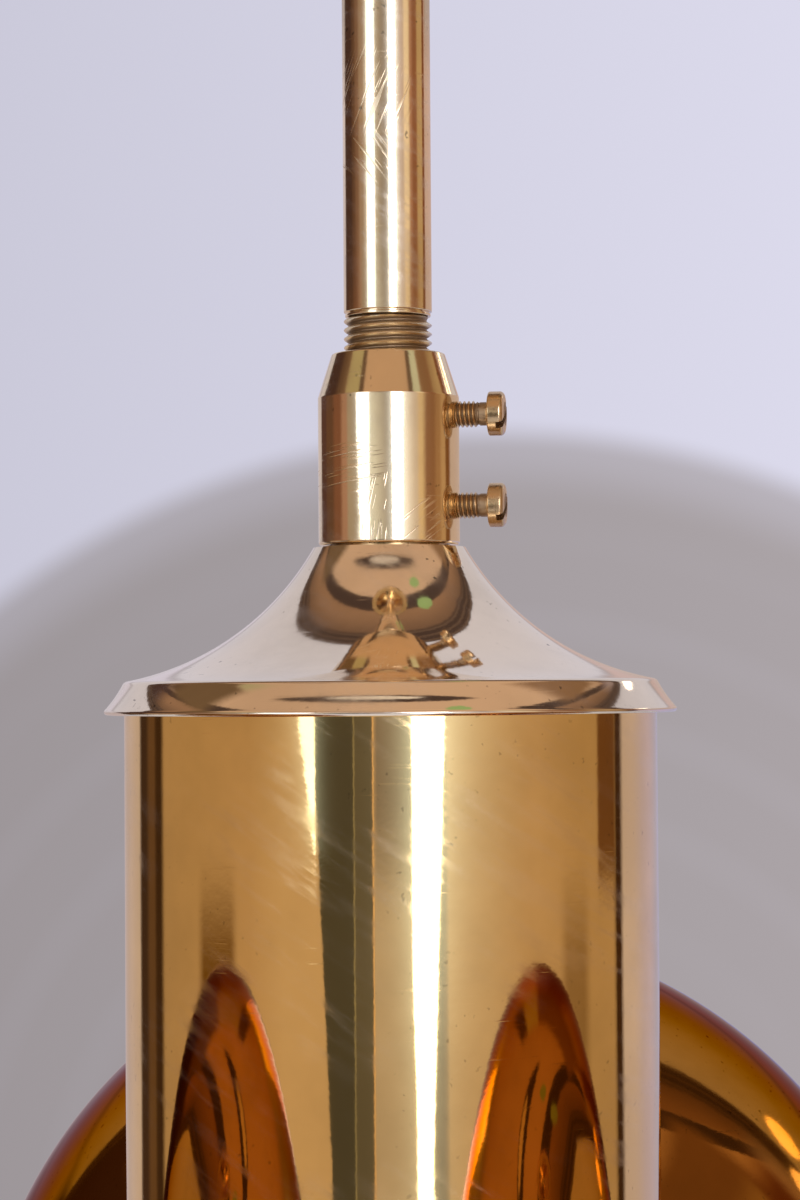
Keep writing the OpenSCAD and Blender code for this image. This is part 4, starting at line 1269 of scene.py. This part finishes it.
SCREW_BRASS = metal("aged_brass", (0.66, 0.46, 0.24), 0.20, 1.0, 0.18, 0.6, 0.8, (300, 300, 600), 0.8), AGED
STEEL = metal("plated_steel", (0.62, 0.61, 0.59), 0.28, 0.5, 0.15, 0.2, 0.8), PLATED
ALUMINIUM = metal("lamp_cap_metal", (0.80, 0.79, 0.77), 0.25, 0.3, 0.12, 0.2, 0.6), "lamp_cap"
PORCELAIN = glaze("porcelain", (0.86, 0.84, 0.78), 0.18), "porcelain"
INSULATOR = glaze("dark_glass", (0.03, 0.028, 0.03), 0.2, 0.3, (0.10, 0.09, 0.08)), "porcelain"
OPAL = opal("opal_glass"), "opal_glass"
make_stage(plain("pale_floor", (0.74, 0.73, 0.77), 0.8))

shaft, threads = make_stem()
dress(shaft, "suspension", STEM_BRASS, "stem_tube")
dress(threads, "suspension", THREAD_BRASS)
dress(make_coupler(), "suspension", COUPLER_BRASS, "coupler")
for name, turn in (("clamp_screw_upper", UPPER_SLOT_TURN), ("clamp_screw_lower", LOWER_SLOT_TURN)):
    low, high = box(name)
    centre = (0, 0, (low.z + high.z) / 2)
    brass = metal(
        name + "_brass", (0.70, 0.50, 0.28), 0.17, 1.0, 0.18, 0.6, 0.8,
        darkening=(centre, SCREW_AXIS, SCREW_R - 0.06, SCREW_R - 0.22, THREAD_ROOT_SHADE),
    )
    dress(make_screw(name + "_turned", name, turn), name, (brass, AGED), name)
dress(make_cap(), "hub", CAP_BRASS, "trumpet_cap")
dress(make_body(), "hub", BODY_BRASS, "body_tube")
dress(make_bottom(), "hub", BODY_BRASS, "bottom_plate")
dress(make_finial(), "hub", STEM_BRASS, "finial")
dress(make_canopy(), "canopy", CANOPY_BRASS, "canopy_shell")
dress(make_knob(), "canopy_screw", SCREW_BRASS, "canopy_screw")
dress(make_terminal_screws(), "suspension", SCREW_BRASS)
for g in GLOBES:
    dress(make_globe(g), f"globe_{g}", GLOBE_BRASS, f"globe_shell_{g}")
    dress(make_bulb(g), f"lamp_{g}", OPAL, f"lamp_bulb_{g}")
    glazed, sleeve, stub = make_holder(g)
    dress(glazed, f"globe_{g}", PORCELAIN, f"lampholder_{g}")
    dress(sleeve, f"globe_{g}", SCREW_BRASS)
    dress(stub, f"globe_{g}", STEEL)
    shell, insulator = make_lamp_cap(g)
    dress(shell, f"lamp_{g}", ALUMINIUM, f"lamp_cap_{g}")
    dress(insulator, f"lamp_{g}", INSULATOR)

# CAD nodes that are carried over as they are: their finish, the single ones, and those that each globe has
for finish, single, per_globe in (
    (STEM_BRASS, ("hanging_eye", "eye_lock_nut", "canopy_collar"), ("arm_collar",)),
    (SCREW_BRASS, ("centre_tube", "neck_ring", "cap_nut"), ("arm_nipple", "arm_nut", "swivel_nut")),
    (STEEL, ("terminal_bracket", "centring_disc"),
     ("spring_washer", "seat_washer", "lamp_bracket", "holder_nut")),
    (PORCELAIN, ("terminal_block",), ()),
):
    for name in (*single, *(f"{node}_{g}" for node in per_globe for g in GLOBES)):
        coat(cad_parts[name], finish)
